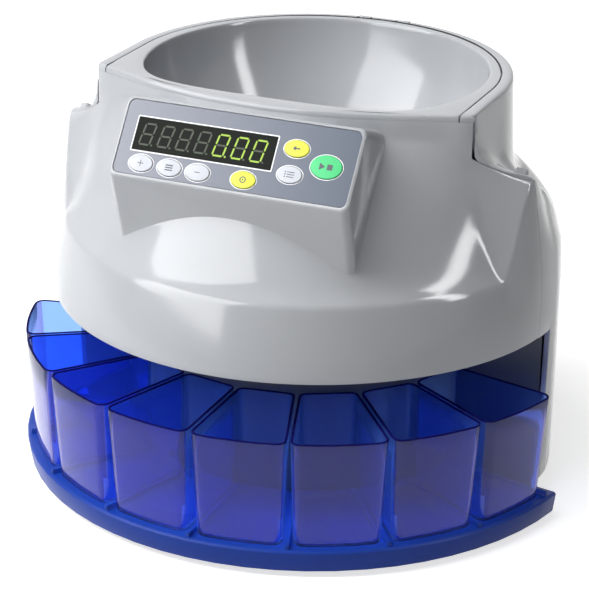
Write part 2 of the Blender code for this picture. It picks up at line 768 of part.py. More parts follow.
def make_drive():
    pulley("disc_pulley", PULLEY_R, SPINDLE_R + SEAT / 2, "dark", 36, place=(0, 0, PULLEY_MID))
    motor_spot = (0, MOTOR_OFFSET, PULLEY_MID)
    pulley("motor_pulley", MOTOR_PULLEY_R, MOTOR_SHAFT_R + SEAT / 2, "steel", 24, place=motor_spot)
    near = PULLEY_R - GROOVE_DEPTH
    far = MOTOR_PULLEY_R - GROOVE_DEPTH
    loops = [belt_outline(near, far, SEAT + BELT_THICK), belt_outline(near, far, SEAT)]
    flat_plate("drive_belt", loops, BELT_HEIGHT, "rubber", place=(0, 0, PULLEY_MID))
    make_bracket()
    make_motor()


def make_bracket():
    """A U of sheet hung from the drum's roof, with the motor under its web."""
    roof = DRUM_TOP - WALL - SEAT
    height = roof - BRACKET_TOP + BRACKET_THICK
    half = BRACKET_WIDTH / 2
    inner = half - BRACKET_THICK
    low = BRACKET_TOP - BRACKET_THICK
    section = [(-half, low), (half, low), (half, roof), (inner, roof), (inner, BRACKET_TOP),
               (-inner, BRACKET_TOP), (-inner, roof), (-half, roof)]
    bm = bmesh.new()
    y = MOTOR_OFFSET - BRACKET_LENGTH / 2
    face = bm.faces.new([bm.verts.new((x, y, z)) for x, z in section])
    moved = bmesh.ops.extrude_face_region(bm, geom=[face])["geom"]
    verts = [item for item in moved if isinstance(item, bmesh.types.BMVert)]
    bmesh.ops.translate(bm, vec=(0, BRACKET_LENGTH, 0), verts=verts)
    bmesh.ops.recalc_face_normals(bm, faces=bm.faces[:])
    bracket = add("motor_bracket", mesh_of(bm, "motor_bracket"), "steel")
    bore = rod_mesh("bracket_bore", MOTOR_COLLAR_R + SEAT, low - height / 2, BRACKET_TOP + BRACKET_THICK / 2,
                    centre=(0, MOTOR_OFFSET))
    boolean(bracket, add("bracket_bore", bore))
    return bracket


def make_motor():
    top = BRACKET_TOP - BRACKET_THICK - SEAT
    low = top - MOTOR_HEIGHT
    collar = top + MOTOR_COLLAR_HEIGHT
    tip = PULLEY_TOP
    rounding = MOTOR_R / 10
    profile = [
        (0, tip), (MOTOR_SHAFT_R, tip), (MOTOR_SHAFT_R, collar), (MOTOR_COLLAR_R, collar),
        (MOTOR_COLLAR_R, top), (MOTOR_R - rounding, top), (MOTOR_R, top - rounding),
        (MOTOR_R, low + rounding), (MOTOR_R - rounding, low), (0, low),
    ]
    turned("drive_motor", profile, "steel", 24, place=(0, MOTOR_OFFSET, 0))


# Casing shapes shared by the front cover and the rear housing


def parting_width(height):
    """Half the casing's width where the front cover meets the rear housing, at a height."""
    widths = [blend(NECK_SIDE, BULGE_X, share) for share in PARTING_WIDTH_SHARES]
    return float(np.interp(height, [FLANGE_TOP * share for share in PARTING_HEIGHT_SHARES], widths))


def parting_depth(width):
    """How far in front of the drum's axis the parting line lies at a half width."""
    return (PARTING_X - width) * math.tan(PARTING_LEAN)


def roundness(height):
    """One where the wall is round in plan, and zero where its side runs straight."""
    round_top = FLANGE_TOP * PARTING_HEIGHT_SHARES[2]
    return 1 - ease((height - round_top) / (SHOULDER_Z - round_top))


def cut_parting(obj, name, behind):
    """Takes away what lies behind the parting line, or in front of it, on both sides."""
    inner = 0 if behind else (SEAM_R - NECK_SIDE) / math.cos(PARTING_LEAN)
    length = TRAY_R - inner
    toward = 1 if behind else -1
    size = (length, TRAY_R, FLANGE_TOP * 3)
    for side in (-1, 1):
        middle = Vector((side * (inner + length / 2), toward * (TRAY_R - SEAM) / 2))
        start = Vector((side * NECK_SIDE, -parting_depth(NECK_SIDE)))
        centre = start + Matrix.Rotation(side * PARTING_LEAN, 2) @ middle
        cut_box(obj, f"{name}_{side}", size, (*centre, FLANGE_TOP / 2), turn=(0, 0, side * PARTING_LEAN))


# Front cover


def neck_point(share):
    x = NECK_SIDE * share
    y = -NECK_FRONT * float(np.interp(share, NECK_X_SHARES, NECK_Y_SHARES))
    return Vector((x, y))


def cover_column(share):
    """One column of the front cover's outer face, from the skirt up to the ledge under the hopper."""
    lift_share = ease((share - WING_START_SHARE) / (1 - WING_START_SHARE))
    side_share = ease((share - SIDE_START_SHARE) / (1 - SIDE_START_SHARE))
    crease_z = blend(CREASE_Z, SHOULDER_Z, lift_share)
    column = []
    crease = None
    for wall_share in (*WALL_SHARES, 1.0):
        z = blend(SKIRT_Z, crease_z, wall_share)
        front = blend(SKIRT_R, CREASE_R, wall_share**SKIRT_CURVE_SHARE)
        end_x = parting_width(blend(SKIRT_Z, SHOULDER_Z, wall_share))
        end_y = parting_depth(end_x)
        angle = share * math.atan2(end_x, end_y)
        radius = blend(front, math.hypot(end_x, end_y), side_share)
        crease = polar(radius, angle, z)
        column.append(crease)
    neck = neck_point(share)
    cone_radius = max(blend(CONE_TOP_R, 0, side_share), neck.length)
    top_z = blend(CONE_TOP_Z, WING_TOP_Z, lift_share)
    cone_top = Vector((*(neck.normalized() * cone_radius), top_z))
    for height_share, front in zip(CONE_HEIGHT_SHARES[1:], CONE_FRONT_SHARES[1:]):
        end = (1 - height_share) ** CONE_END_POWER
        out = blend(front, end, lift_share)
        plan = cone_top.xy.lerp(crease.xy, out)
        column.append(Vector((*plan, blend(crease_z, top_z, height_share))))
    column.append(Vector((*neck, top_z + NECK_RISE)))
    column.append(Vector((*neck, LEDGE_Z)))
    column.append(Vector((*(neck - neck.normalized() * LEDGE_WIDTH), LEDGE_Z)))
    return column


def panel_outline(inset=0.0, open_inset=0.0):
    """The panel box from the side, drawn in by a wall on the three faces that show."""
    corners = [
        Vector((-PANEL_FRONT_Y, PANEL_FRONT_Z)),
        Vector((-PANEL_BACK_Y, PANEL_BACK_Z)),
        Vector((-BOX_NECK_Y, BOX_NECK_Z)),
        Vector((-BOX_FOOT_Y + WALL * 3, BOX_FOOT_Z)),
        Vector((-BOX_FOOT_Y, BOX_FOOT_Z)),
    ]
    insets = [inset + OVERLAY_RECESS if inset else 0.0, inset, open_inset, open_inset, inset]
    lines = []
    for i, corner in enumerate(corners):
        along = (corners[(i + 1) % len(corners)] - corner).normalized()
        inward = Vector((along.y, -along.x))
        lines.append((corner + inward * insets[i], along))
    points = []
    for i, (start, along) in enumerate(lines):
        last_start, last_along = lines[i - 1]
        cross = last_along.x * along.y - last_along.y * along.x
        gap = start - last_start
        reach = (gap.x * along.y - gap.y * along.x) / cross
        points.append(last_start + last_along * reach)
    return points


def panel_prism(name, points, half_width, corner, edge_round):
    """The panel box's side outline drawn out to both sides, with its four long corners eased."""
    bm = bmesh.new()
    face = bm.faces.new([bm.verts.new((-half_width, y, z)) for y, z in points])
    moved = bmesh.ops.extrude_face_region(bm, geom=[face])["geom"]
    verts = [item for item in moved if isinstance(item, bmesh.types.BMVert)]
    bmesh.ops.translate(bm, vec=(half_width * 2, 0, 0), verts=verts)
    bmesh.ops.recalc_face_normals(bm, faces=bm.faces[:])
    if corner:
        sides = [f for f in bm.faces if abs(f.normal.x) > 0.9]
        edges = {e for f in sides for e in f.edges}
        long_edges = [e for e in edges if min(v.co.z for v in e.verts) < PANEL_FRONT_Z
                      or max(v.co.y for v in e.verts) > -PANEL_BACK_Y + SEAT]
        bmesh.ops.bevel(bm, geom=long_edges, offset=corner, segments=3, profile=0.5, affect="EDGES")
        slope = Vector((0, -math.sin(PANEL_SLOPE), math.cos(PANEL_SLOPE)))
        faces = [f for f in bm.faces if f.normal.dot(slope) > 0.99]
        rim = {e for f in faces for e in f.edges}
        bmesh.ops.bevel(bm, geom=list(rim), offset=edge_round, segments=2, profile=0.5, affect="EDGES")
    return mesh_of(bm, name)


def cut_neck(cover):
    """Trims the panel box's tail off inside the neck, where the bowl hangs."""
    outline = []
    steps = 8
    for step in range(-steps, steps + 1):
        neck = neck_point(abs(step) / steps)
        neck -= neck.normalized() * (WALL + SEAT)
        outline.append(Vector((math.copysign(neck.x, step), neck.y)))
    room = loft_mesh("neck_room", [lift(outline, CREASE_Z), lift(outline, LEDGE_Z - WALL - SEAT)])
    boolean(cover, add("neck_room", room))


def make_front_cover():
    columns = [cover_column(share) for share in COLUMN_SHARES]
    rows = [list(row) for row in zip(*columns)]
    cover = add("front_cover", loft_mesh("front_cover", rows, capped=False, loop=False), "casing")
    mirror(cover)
    thicken(cover, WALL)
    cut_parting(cover, "front_parting", True)
    reach = TRAY_R * 2
    neck_end = WALL - parting_depth(NECK_SIDE)
    cut_box(cover, "neck_end", (2 * (NECK_SIDE + SEAT), reach, reach), (0, neck_end + reach / 2, FLANGE_TOP))
    box = add("panel_box", panel_prism("panel_box", panel_outline(), BOX_HALF_WIDTH, BOX_CORNER, BOX_ROUND))
    boolean(cover, box, "UNION")
    room = panel_prism("panel_room", panel_outline(WALL, -OVERRUN), BOX_HALF_WIDTH - WALL, 0, 0)
    boolean(cover, add("panel_room", room))
    cut_neck(cover)
    cut_panel(cover)
    return cover


def cut_panel(cover):
    """The overlay's recess, the window and the key holes, set out on the sloping face."""
    outline = rectangle(-OVERLAY_HALF_WIDTH - SEAT, OVERLAY_HALF_WIDTH + SEAT, OVERLAY_LOW - SEAT,
                        OVERLAY_HIGH + SEAT, OVERLAY_CORNER)
    recess = loft_mesh("overlay_recess", [lift(outline, -OVERLAY_RECESS), lift(outline, OVERRUN)])
    boolean(cover, add("overlay_recess", recess, parent=PANEL))
    deep = PANEL_WALL_BACK - OVERRUN / 4
    window = rectangle(-WINDOW_LEFT + MODULE_MARGIN, WINDOW_RIGHT - MODULE_MARGIN,
                       WINDOW_LOW + MODULE_MARGIN, WINDOW_HIGH - MODULE_MARGIN)
    hole = loft_mesh("window_hole", [lift(window, deep), lift(window, 0)])
    boolean(cover, add("window_hole", hole, parent=PANEL))
    for name, centre in KEY_PLACES.items():
        outline = oval(key_radii(name), centre, grow=KEY_GAP)
        hole = loft_mesh(f"{name}_hole", [lift(outline, deep), lift(outline, 0)])
        boolean(cover, add(f"{name}_hole", hole, parent=PANEL))


# Panel pieces


def key_radii(name):
    return START_KEY_RADII if name == "key_start" else KEY_RADII


def make_panel():
    outlines = [rectangle(-OVERLAY_HALF_WIDTH, OVERLAY_HALF_WIDTH, OVERLAY_LOW, OVERLAY_HIGH,
                          OVERLAY_CORNER),
                rectangle(-WINDOW_LEFT - SEAT, WINDOW_RIGHT + SEAT, WINDOW_LOW - SEAT, WINDOW_HIGH + SEAT)]
    outlines += [oval(key_radii(name), centre, grow=KEY_GAP) for name, centre in KEY_PLACES.items()]
    overlay_mid = OVERLAY_TOP - OVERLAY_THICK / 2
    flat_plate("panel_overlay", outlines, OVERLAY_THICK, "overlay", parent=PANEL, place=(0, 0, overlay_mid))
    pane = (WINDOW_LEFT + WINDOW_RIGHT, WINDOW_HIGH - WINDOW_LOW, OVERLAY_THICK)
    centre_x = (WINDOW_RIGHT - WINDOW_LEFT) / 2
    centre_y = (WINDOW_HIGH + WINDOW_LOW) / 2
    add("display_window", box_mesh("display_window", pane), "window", parent=PANEL,
        place=(centre_x, centre_y, overlay_mid + WINDOW_PROUD))
    module_x = pane[0] - 2 * MODULE_MARGIN - 2 * SEAT
    module_y = pane[1] - 2 * MODULE_MARGIN - 2 * SEAT
    top = overlay_mid + WINDOW_PROUD - OVERLAY_THICK / 2 - SEAT
    add("display_module", box_mesh("display_module", (module_x, module_y, MODULE_DEPTH)), "dark",
        parent=PANEL, place=(centre_x, centre_y, top - MODULE_DEPTH / 2))
    make_keys()
    board_top = PANEL_WALL_BACK - KEY_FLANGE_THICK - KEY_TRAVEL - 3 * SEAT
    board_margin = BOARD_MARGIN + WALL
    half = BOX_HALF_WIDTH - board_margin
    module_gap = MODULE_MARGIN - 2 * SEAT
    board = [rectangle(-half, half, BOARD_MARGIN, WINDOW_HIGH + BOARD_MARGIN / 2, BOARD_MARGIN, 2),
             rectangle(-WINDOW_LEFT + module_gap, WINDOW_RIGHT - module_gap, WINDOW_LOW + module_gap,
                       WINDOW_HIGH - module_gap)]
    flat_plate("key_board", board, BOARD_THICK, "board", parent=PANEL,
               place=(0, 0, board_top - BOARD_THICK / 2))


def make_keys():
    top = OVERLAY_TOP + KEY_PROUD
    flange_top = PANEL_WALL_BACK - SEAT
    flange_low = flange_top - KEY_FLANGE_THICK
    for name, (x, y) in KEY_PLACES.items():
        radii = key_radii(name)
        crown = KEY_PROUD / 2
        rings = [
            lift(oval(radii, grow=KEY_FLANGE), flange_low),
            lift(oval(radii, grow=KEY_FLANGE), flange_top),
            lift(oval(radii), flange_top),
            lift(oval(radii), top - crown),
            lift(oval(radii, grow=-crown), top),
        ]
        add(name, loft_mesh(name, rings), KEY_FINISHES.get(name, "white"), parent=PANEL, place=(x, y, 0))


# Rear housing


def housing_rows():
    """Rows of the right half, from the bottom up, each from past the parting line round to the back."""
    rows = []
    heights = list(zip(PARTING_WIDTH_SHARES, PARTING_HEIGHT_SHARES, REAR_WIDTH_SHARES, REAR_HEIGHT_SHARES))
    for width_share, height_share, rear_share, rear_height_share in heights:
        rows.append(housing_row(width_share, height_share, rear_share, rear_height_share))
    rows[0] = [Vector((*point.xy, HOUSING_BOTTOM)) for point in rows[0]]
    for inner, height in ((SEAM_R + HOPPER_GAP, FLANGE_TOP), (SEAM_R + HOPPER_GAP, LEDGE_Z),
                          (SEAM_R - LEDGE_WIDTH, LEDGE_Z)):
        rows.append(lip_row(inner, height))
    return rows


def housing_row(width_share, height_share, rear_share, rear_height_share):
    height = FLANGE_TOP * height_share
    end_x = blend(NECK_SIDE, BULGE_X, width_share)
    end_y = parting_depth(end_x)
    bend = roundness(height)
    radius = math.sqrt(end_x**2 + bend * end_y**2)
    rear_radius = blend(NECK_SIDE, HOUSING_R, rear_share)
    rear_z = FLANGE_TOP * rear_height_share
    row = []
    for share in FRONT_COLUMN_SHARES:
        y = end_y * share
        z = blend(height, rear_z, SIDE_DROP * ease(1 - share))
        row.append(Vector((math.sqrt(radius**2 - bend * y**2), -y, z)))
    for step in range(REAR_COLUMNS + 1):
        angle = math.pi / 2 * (1 + step / REAR_COLUMNS)
        back = ease((angle - BLEND_START) / (BLEND_END - BLEND_START))
        start = ease((math.pi / 2 - BLEND_START) / (BLEND_END - BLEND_START))
        back = (back - start) / (1 - start)
        z = blend(height, rear_z, blend(SIDE_DROP, 1, back))
        row.append(polar(blend(radius, rear_radius, back), angle, z))
    row[-1].x = 0
    return row


def lip_row(inner, height):
    """A row of the rim inside the collar, round behind and straight at the side."""
    row = []
    end_y = parting_depth(NECK_SIDE)
    for share in FRONT_COLUMN_SHARES:
        row.append(Vector((inner, -end_y * share, height)))
    for step in range(REAR_COLUMNS + 1):
        row.append(polar(inner, math.pi / 2 * (1 + step / REAR_COLUMNS), height))
    row[-1].x = 0
    return row


def fill_collar_ends(housing):
    """Fills the collar's two front ends out to the neck's face, flush with the bowl's flange."""
    inner = SEAM_R + HOPPER_GAP
    outer = NECK_SIDE - SEAT
    back = LEDGE_WIDTH - parting_depth(NECK_SIDE)
    low = LEDGE_Z + SEAT
    reach = TRAY_R * 2
    foot = WING_TOP_Z - LEDGE_WIDTH
    cut_box(housing, "collar_front", (2 * (NECK_SIDE + LIP_REACH), reach, reach),
            (0, back - SEAM - reach / 2, foot + reach / 2))
    for side in (-1, 1):
        outline = [Vector((inner, back))]
        for x in (inner, (inner + outer) / 2, outer):
            outline.append(neck_point(x / NECK_SIDE) + Vector((0, HOPPER_INSET)))
        outline.append(Vector((outer, back)))
        shoulder = []
        top = []
        for point in outline:
            edge = edge_round(point)
            eased = point - point.normalized() * edge
            shoulder.append(Vector((side * point.x, point.y, FLANGE_TOP - edge)))
            top.append(Vector((side * max(eased.x, inner), eased.y, FLANGE_TOP)))
        lower = [Vector((side * point.x, point.y, low)) for point in outline]
        name = f"collar_end_{side}"
        boolean(housing, add(name, loft_mesh(name, [lower, shoulder, top])), "UNION")


def make_rear_housing():
    rows = housing_rows()
    housing = add("rear_housing", loft_mesh("rear_housing", rows, capped=False, loop=False), "casing")
    mirror(housing)
    thicken(housing, WALL)
    cut_parting(housing, "rear_parting", False)
    reach = TRAY_R * 2
    ledge_end = parting_depth(NECK_SIDE) - LEDGE_WIDTH
    cut_box(housing, "ledge_end", (2 * (SEAM_R + HOPPER_GAP), reach, reach), (0, -ledge_end - reach / 2, LEDGE_Z))
    fill_collar_ends(housing)
    room = rod_mesh("bowl_room", BOWL_R + BOWL_WALL + SEAT, THROAT_Z, LEDGE_Z + SEAT, ROUND_STEPS)
    boolean(housing, add("bowl_room", room, place=(0, BOWL_CENTRE_Y, 0)))
    cut_box(housing, "column_front", (reach, reach, reach),
            (0, -COLUMN_FRONT - reach / 2, SKIRT_Z - SEAM - reach / 2))
    for name, size, angle in (("inlet_hole", INLET_SIZE, INLET_ANGLE),
                              ("switch_hole", SWITCH_SIZE, SWITCH_ANGLE),
                              ("port_hole", PORT_SIZE, PORT_ANGLE)):
        cut_box(housing, name, (size[0] + 2 * SEAT, WALL * 6, size[1] + 2 * SEAT),
                polar(HOUSING_R, angle, SOCKET_Z), turn=(0, 0, angle))
    depth = 2 * (EAR_R + EAR_GAP)
    inner = SEAM_R - LEDGE_WIDTH
    notch = (EAR_WIDTH + 2 * EAR_GAP, HINGE_Y + EAR_R + EAR_GAP - inner, depth + OVERRUN)
    centre_y = inner + notch[1] / 2
    for side in (-1, 1):
        cut_box(housing, f"ear_notch_{side}", notch,
                (side * HINGE_HALF_SPAN, centre_y, HINGE_Z + OVERRUN / 2))
    bore = rod_mesh("collar_bore", PIN_R + BORE_GAP, -PIN_HALF_LENGTH - SEAT, PIN_HALF_LENGTH + SEAT, PIN_STEPS)
    boolean(housing, add("collar_bore", bore, place=(0, HINGE_Y, HINGE_Z), turn=(0, math.pi / 2, 0)))
    return housing


# Hopper


def rim_outline():
    """The hopper's outer edge in plan: flush with the neck in front, straight sides and a round back."""
    steps = 9
    right = []
    for i in range(steps + 1):
        x = SEAM_R * i / steps
        right.append(neck_point(x / NECK_SIDE) + Vector((0, HOPPER_INSET)))
    corner = right[-1]
    side = Vector((SEAM_R, 0))
    right += [corner.lerp(side, 1 / 3), corner.lerp(side, 2 / 3)]
    steps = REAR_COLUMNS
    right += [polar(SEAM_R, math.pi / 2 * (1 + i / steps)).xy for i in range(steps + 1)]
    left = [Vector((-point.x, point.y)) for point in reversed(right[1:-1])]
    return right + left


def bowl_radius(angle):
    """A circle whose front is drawn in to a flatter line with rounded corners."""
    flat = max(math.cos(angle), 0) / BOWL_FRONT
    return (BOWL_R**-BOWL_CORNER_POWER + flat**BOWL_CORNER_POWER) ** (-1 / BOWL_CORNER_POWER)


def edge_round(point):
    """How far the rim's outer edge is rounded: well over in front, and only eased along the seam."""
    front = ease((-point.y / NECK_FRONT - EDGE_START_SHARE) / (EDGE_END_SHARE - EDGE_START_SHARE))
    return blend(SEAM_ROUND, HOPPER_EDGE_ROUND, front)


def make_hopper():
    hinge = empty("hopper_hinge_axis", (0, HINGE_Y, HINGE_Z), AXIS)
    outline = rim_outline()
    angles = [math.atan2(point.x, -(point.y - BOWL_CENTRE_Y)) for point in outline]
    mouth = [bowl_radius(angle) for angle in angles]
    underside = FLANGE_TOP - FLANGE_THICK
    depth = FLANGE_TOP - THROAT_Z

    def bowl_ring(depth_share, width_share, wall=0.0, height=None):
        z = FLANGE_TOP - depth * depth_share if height is None else height
        radii = [blend(THROAT_R, radius, width_share) + wall for radius in mouth]
        return [polar(radius, angle, z) + Vector((0, BOWL_CENTRE_Y, 0)) for radius, angle in zip(radii, angles)]

    edges = [edge_round(point) for point in outline]
    rings = [
        lift(outline, underside),
        [Vector((*point, FLANGE_TOP - edge)) for point, edge in zip(outline, edges)],
        [Vector((*(point - point.normalized() * edge), FLANGE_TOP)) for point, edge in zip(outline, edges)],
        bowl_ring(0, 1, BOWL_ROUND),
    ]
    profile = list(zip(BOWL_DEPTH_SHARES, BOWL_WIDTH_SHARES))
    rings += [bowl_ring(*shares) for shares in profile]
    rings += [bowl_ring(*shares, BOWL_WALL) for shares in reversed(profile[1:])]
    rings.append(bowl_ring(0, 1, BOWL_WALL, underside))
    mesh = loft_mesh("hopper", rings + rings[:1], capped=False)
    weld(mesh)
    mesh.transform(Matrix.Translation((0, -HINGE_Y, -HINGE_Z)))
    hopper = add("hopper", mesh, "casing", parent=hinge)
    make_ears(hopper, hinge)
    return hopper


def make_ears(hopper, hinge):
    """Two ears behind the flange, bored for the hinge pin, and the pin through them."""
    along_x = (0, math.pi / 2, 0)
    for side in (-1, 1):
        name = f"hopper_ear_{side}"
        eye = add(name, rod_mesh(name, EAR_R, -EAR_WIDTH / 2, EAR_WIDTH / 2, 20), parent=hinge,
                  place=(side * HINGE_HALF_SPAN, 0, 0), turn=along_x)
        arm = HINGE_Y - SEAM_R + EAR_R
        lift_to = FLANGE_TOP - FLANGE_THICK / 2 - HINGE_Z
        cut_box(hopper, f"ear_arm_{side}", (EAR_WIDTH, arm, FLANGE_THICK - 2 * SEAT),
                (side * HINGE_HALF_SPAN, -arm / 2, lift_to), parent=hinge, operation="UNION")
        boolean(hopper, eye, "UNION")
    bore = rod_mesh("hinge_bore", PIN_R + BORE_GAP, -PIN_HALF_LENGTH, PIN_HALF_LENGTH, PIN_STEPS)
    boolean(hopper, add("hinge_bore", bore, parent=hinge, turn=along_x))
    pin = rod_mesh("hinge_pin", PIN_R, -PIN_HALF_LENGTH, PIN_HALF_LENGTH, PIN_STEPS)
    add("hinge_pin", pin, "steel", parent=hinge, turn=along_x)


# Electrical pieces


def make_electrics():
    low = PLATE_TOP + SEAT
    add("power_supply", box_mesh("power_supply", SUPPLY_SIZE, bevel=SEAT * 3), "steel",
        place=(0, SUPPLY_Y, low + SUPPLY_SIZE[2] / 2))
    add("main_board", box_mesh("main_board", BOARD_SIZE), "board",
        place=polar(BOARD_R, -BOARD_ANGLE, low + BOARD_SIZE[2] / 2), turn=(0, 0, -BOARD_ANGLE))
    socket("power_inlet", INLET_SIZE, INLET_ANGLE, "dark")
    socket("switch_frame", SWITCH_SIZE, SWITCH_ANGLE, "dark")
    socket("data_port", PORT_SIZE, PORT_ANGLE, "steel")
    make_rocker()


def socket(name, size, angle, finish_name):
    """A body pushed through the rear wall from inside, held by a lip, with an open pocket outside."""
    frame = empty(f"{name}_frame", polar(HOUSING_R - SOCKET_INSET, angle, SOCKET_Z), AXIS, (0, 0, angle))
    body = box_mesh(name, (size[0], SOCKET_DEPTH, size[1]), (0, SOCKET_DEPTH / 2, 0))
    piece = add(name, body, finish_name, parent=frame)
    lip = (size[0] + 2 * SOCKET_LIP, SOCKET_LIP_THICK, size[1] + 2 * SOCKET_LIP)
    sag = HOUSING_R - math.sqrt(HOUSING_R**2 - (lip[0] / 2) ** 2)
    behind = WALL - SOCKET_INSET + SEAT + sag + SOCKET_LIP_THICK / 2
    cut_box(piece, f"{name}_lip", lip, (0, behind, 0), parent=frame, operation="UNION")
    pocket = (size[0] - 2 * POCKET_WALL, POCKET_DEPTH + OVERRUN, size[1] - 2 * POCKET_WALL)
    cut_box(piece, f"{name}_pocket", pocket, (0, (POCKET_DEPTH - OVERRUN) / 2, 0), parent=frame)
    return piece


def make_rocker():
    """A rocker on a level axis across the switch's pocket, with its two faces meeting in a dip."""
    frame = bpy.data.objects["switch_frame_frame"]
    width = SWITCH_SIZE[0] - 2 * POCKET_WALL - SEAT
    half = SWITCH_SIZE[1] / 2 - POCKET_WALL - ROCKER_GAP
    section = [(-ROCKER_FRONT, half), (-ROCKER_FRONT + ROCKER_DIP, 0), (-ROCKER_FRONT, -half),
               (0, -half), (ROCKER_BACK, -half / 2), (ROCKER_BACK, half / 2), (0, half)]
    bm = bmesh.new()
    face = bm.faces.new([bm.verts.new((-width / 2, y, z)) for y, z in section])
    moved = bmesh.ops.extrude_face_region(bm, geom=[face])["geom"]
    verts = [item for item in moved if isinstance(item, bmesh.types.BMVert)]
    bmesh.ops.translate(bm, vec=(width, 0, 0), verts=verts)
    bmesh.ops.recalc_face_normals(bm, faces=bm.faces[:])
    add("switch_rocker", mesh_of(bm, "switch_rocker"), "dark", parent=frame, place=(0, ROCKER_PIVOT, 0))


clear_scene()
PARTS = collection("coin_sorting_machine")
CUTTERS = collection("cutters")
AXIS = empty("drum_axis", (0, AXIS_Y, 0))
PANEL = empty("panel_plane", (0, -PANEL_FRONT_Y, PANEL_FRONT_Z), AXIS, (PANEL_SLOPE, 0, 0))
make_tray()
make_bottom_plate()
make_feet()
make_cups()
make_drum()
make_deck()
make_rail()
make_disc()
make_spindle()
make_drive()
make_front_cover()
make_panel()
make_rear_housing()
make_hopper()
make_electrics()
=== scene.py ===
import math

import bmesh
import bpy
import numpy as np
from mathutils import Matrix, Vector


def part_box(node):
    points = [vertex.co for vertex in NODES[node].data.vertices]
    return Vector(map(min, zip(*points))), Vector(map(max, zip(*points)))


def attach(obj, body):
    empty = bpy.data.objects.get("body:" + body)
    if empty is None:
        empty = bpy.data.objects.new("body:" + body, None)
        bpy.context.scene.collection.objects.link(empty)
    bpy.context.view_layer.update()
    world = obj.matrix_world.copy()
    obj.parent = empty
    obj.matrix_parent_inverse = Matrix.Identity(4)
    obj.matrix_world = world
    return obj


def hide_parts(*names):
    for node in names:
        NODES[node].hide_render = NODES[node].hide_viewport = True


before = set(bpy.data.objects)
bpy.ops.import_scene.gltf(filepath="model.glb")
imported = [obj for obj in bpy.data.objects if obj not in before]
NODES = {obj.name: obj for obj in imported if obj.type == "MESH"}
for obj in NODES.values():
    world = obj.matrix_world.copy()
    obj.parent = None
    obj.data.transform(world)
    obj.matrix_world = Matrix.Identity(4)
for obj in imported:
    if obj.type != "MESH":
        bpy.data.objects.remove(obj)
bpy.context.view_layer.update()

bl_info = {
    "name": "Coin sorting machine",
    "version": (1, 0, 0),
    "blender": (4, 5, 0),
    "location": "3D View > Sidebar > Coin sorter",
    "description": "Dresses the packed coin sorting machine with fine skins, materials, lights and a camera",
    "category": "Object",
}

FIXED_BODY = "machine"
MOVING_BODIES = {"feed_disc": "feed_drive", "spindle": "feed_drive", "disc_pulley": "feed_drive",
                 "motor_pulley": "motor_pulley_body", "switch_rocker": "rocker_body"}


def middle_of(node):
    low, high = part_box(node)
    return (low + high) / 2


# The drum's axis, from which the round pieces are set out
AXIS_Y = middle_of("feed_disc").y
AXIS = Vector((0, AXIS_Y, 0))
CUP_COUNT = 8
CUP_PITCH = math.radians(19.22)
FLANGE_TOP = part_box("rear_housing")[1].z
SEAT = 0.0003
SEAM = 0.0005
MERGE = 0.00002
HAIR = 0.00003
TOOL_REACH = 0.4

# Casing, from the skirt's lower edge up to the hopper's flange
SKIRT_R = 0.1565
SKIRT_Z = 0.1118
CREASE_R = 0.146
CREASE_Z = 0.1536
CONE_TOP_R = 0.0947
CONE_TOP_Z = 0.2356
WING_TOP_Z = 0.230
NECK_FRONT = 0.0822
NECK_SIDE = 0.1185
NECK_RISE = 0.002
PARTING_X = 0.195
PARTING_LEAN = math.radians(33.69)
SHOULDER_Z = 0.2087
BULGE_X = 0.1563
HOUSING_R = 0.152
COLUMN_FRONT = 0.010
PAST_SEAM = 0.004
LIP_REACH = 0.0012
FRONT_PLACE = 0.16
COLLAR_ROUND = 0.0032
FLANGE_THICK = 0.0036
LEDGE_WIDTH = 0.0045
LEDGE_Z = FLANGE_TOP - FLANGE_THICK - SEAT
SIDE_START = 0.45
SIDE_SPAN = 0.55
SKIRT_BOW = 1.15
COLUMN_PACKING = 1.25
COVER_COLUMNS = 64
BLEND_START = math.radians(80)
BLEND_END = math.radians(112)
SIDE_DROP = 0.5
SHELL_ANGLE = 38
LEDGE_REST = SEAT / 3
HOUSING_ROWS = 61
SIDE_COLUMNS = 12
REAR_COLUMNS = 61
NECK_COLUMNS = 16

# Panel box
BOX_HALF_WIDTH = 0.0737
PANEL_FRONT_Y = 0.1255
PANEL_FRONT_Z = 0.210
PANEL_BACK_Y = 0.098
PANEL_BACK_Z = 0.24905
BOX_FOOT_Y = 0.1116
BOX_FOOT_Z = 0.160
BOX_NECK_Y = 0.063
BOX_NECK_Z = 0.2365
BOX_FOOT_DEPTH = 0.009
BOX_CORNER = 0.0045
OVERRUN = 0.006
CUT_REACH = 0.01
PANEL_SLOPE = math.atan2(PANEL_BACK_Z - PANEL_FRONT_Z, PANEL_FRONT_Y - PANEL_BACK_Y)
OVERLAY_HALF_WIDTH = 0.07155
OVERLAY_LOW = 0.0019
OVERLAY_HIGH = 0.046
OVERLAY_RECESS = 0.0015
OVERLAY_CORNER = 0.004
OVERLAY_THICK = 0.0008
OVERLAY_TOP = OVERLAY_THICK + SEAT - OVERLAY_RECESS
WINDOW_LEFT = 0.063
WINDOW_RIGHT = 0.023
WINDOW_LOW = 0.0167
WINDOW_HIGH = 0.036
WINDOW_CORNER = 0.0004
FRAME_WIDTH = 0.0010
FRAME_CORNER = 0.0006
INK_LOW = 0.00001
INK_HIGH = 0.00006
RING_INK_HIGH = 0.00008
RING_GAP = 0.00005
RING_WIDTH = 0.0005
FILM_EDGE = 0.0001
KEY_PROUD = 0.0009
KEY_EDGE = 0.0004
KEY_FLAT = 0.66
START_KEY_FLAT = 0.72
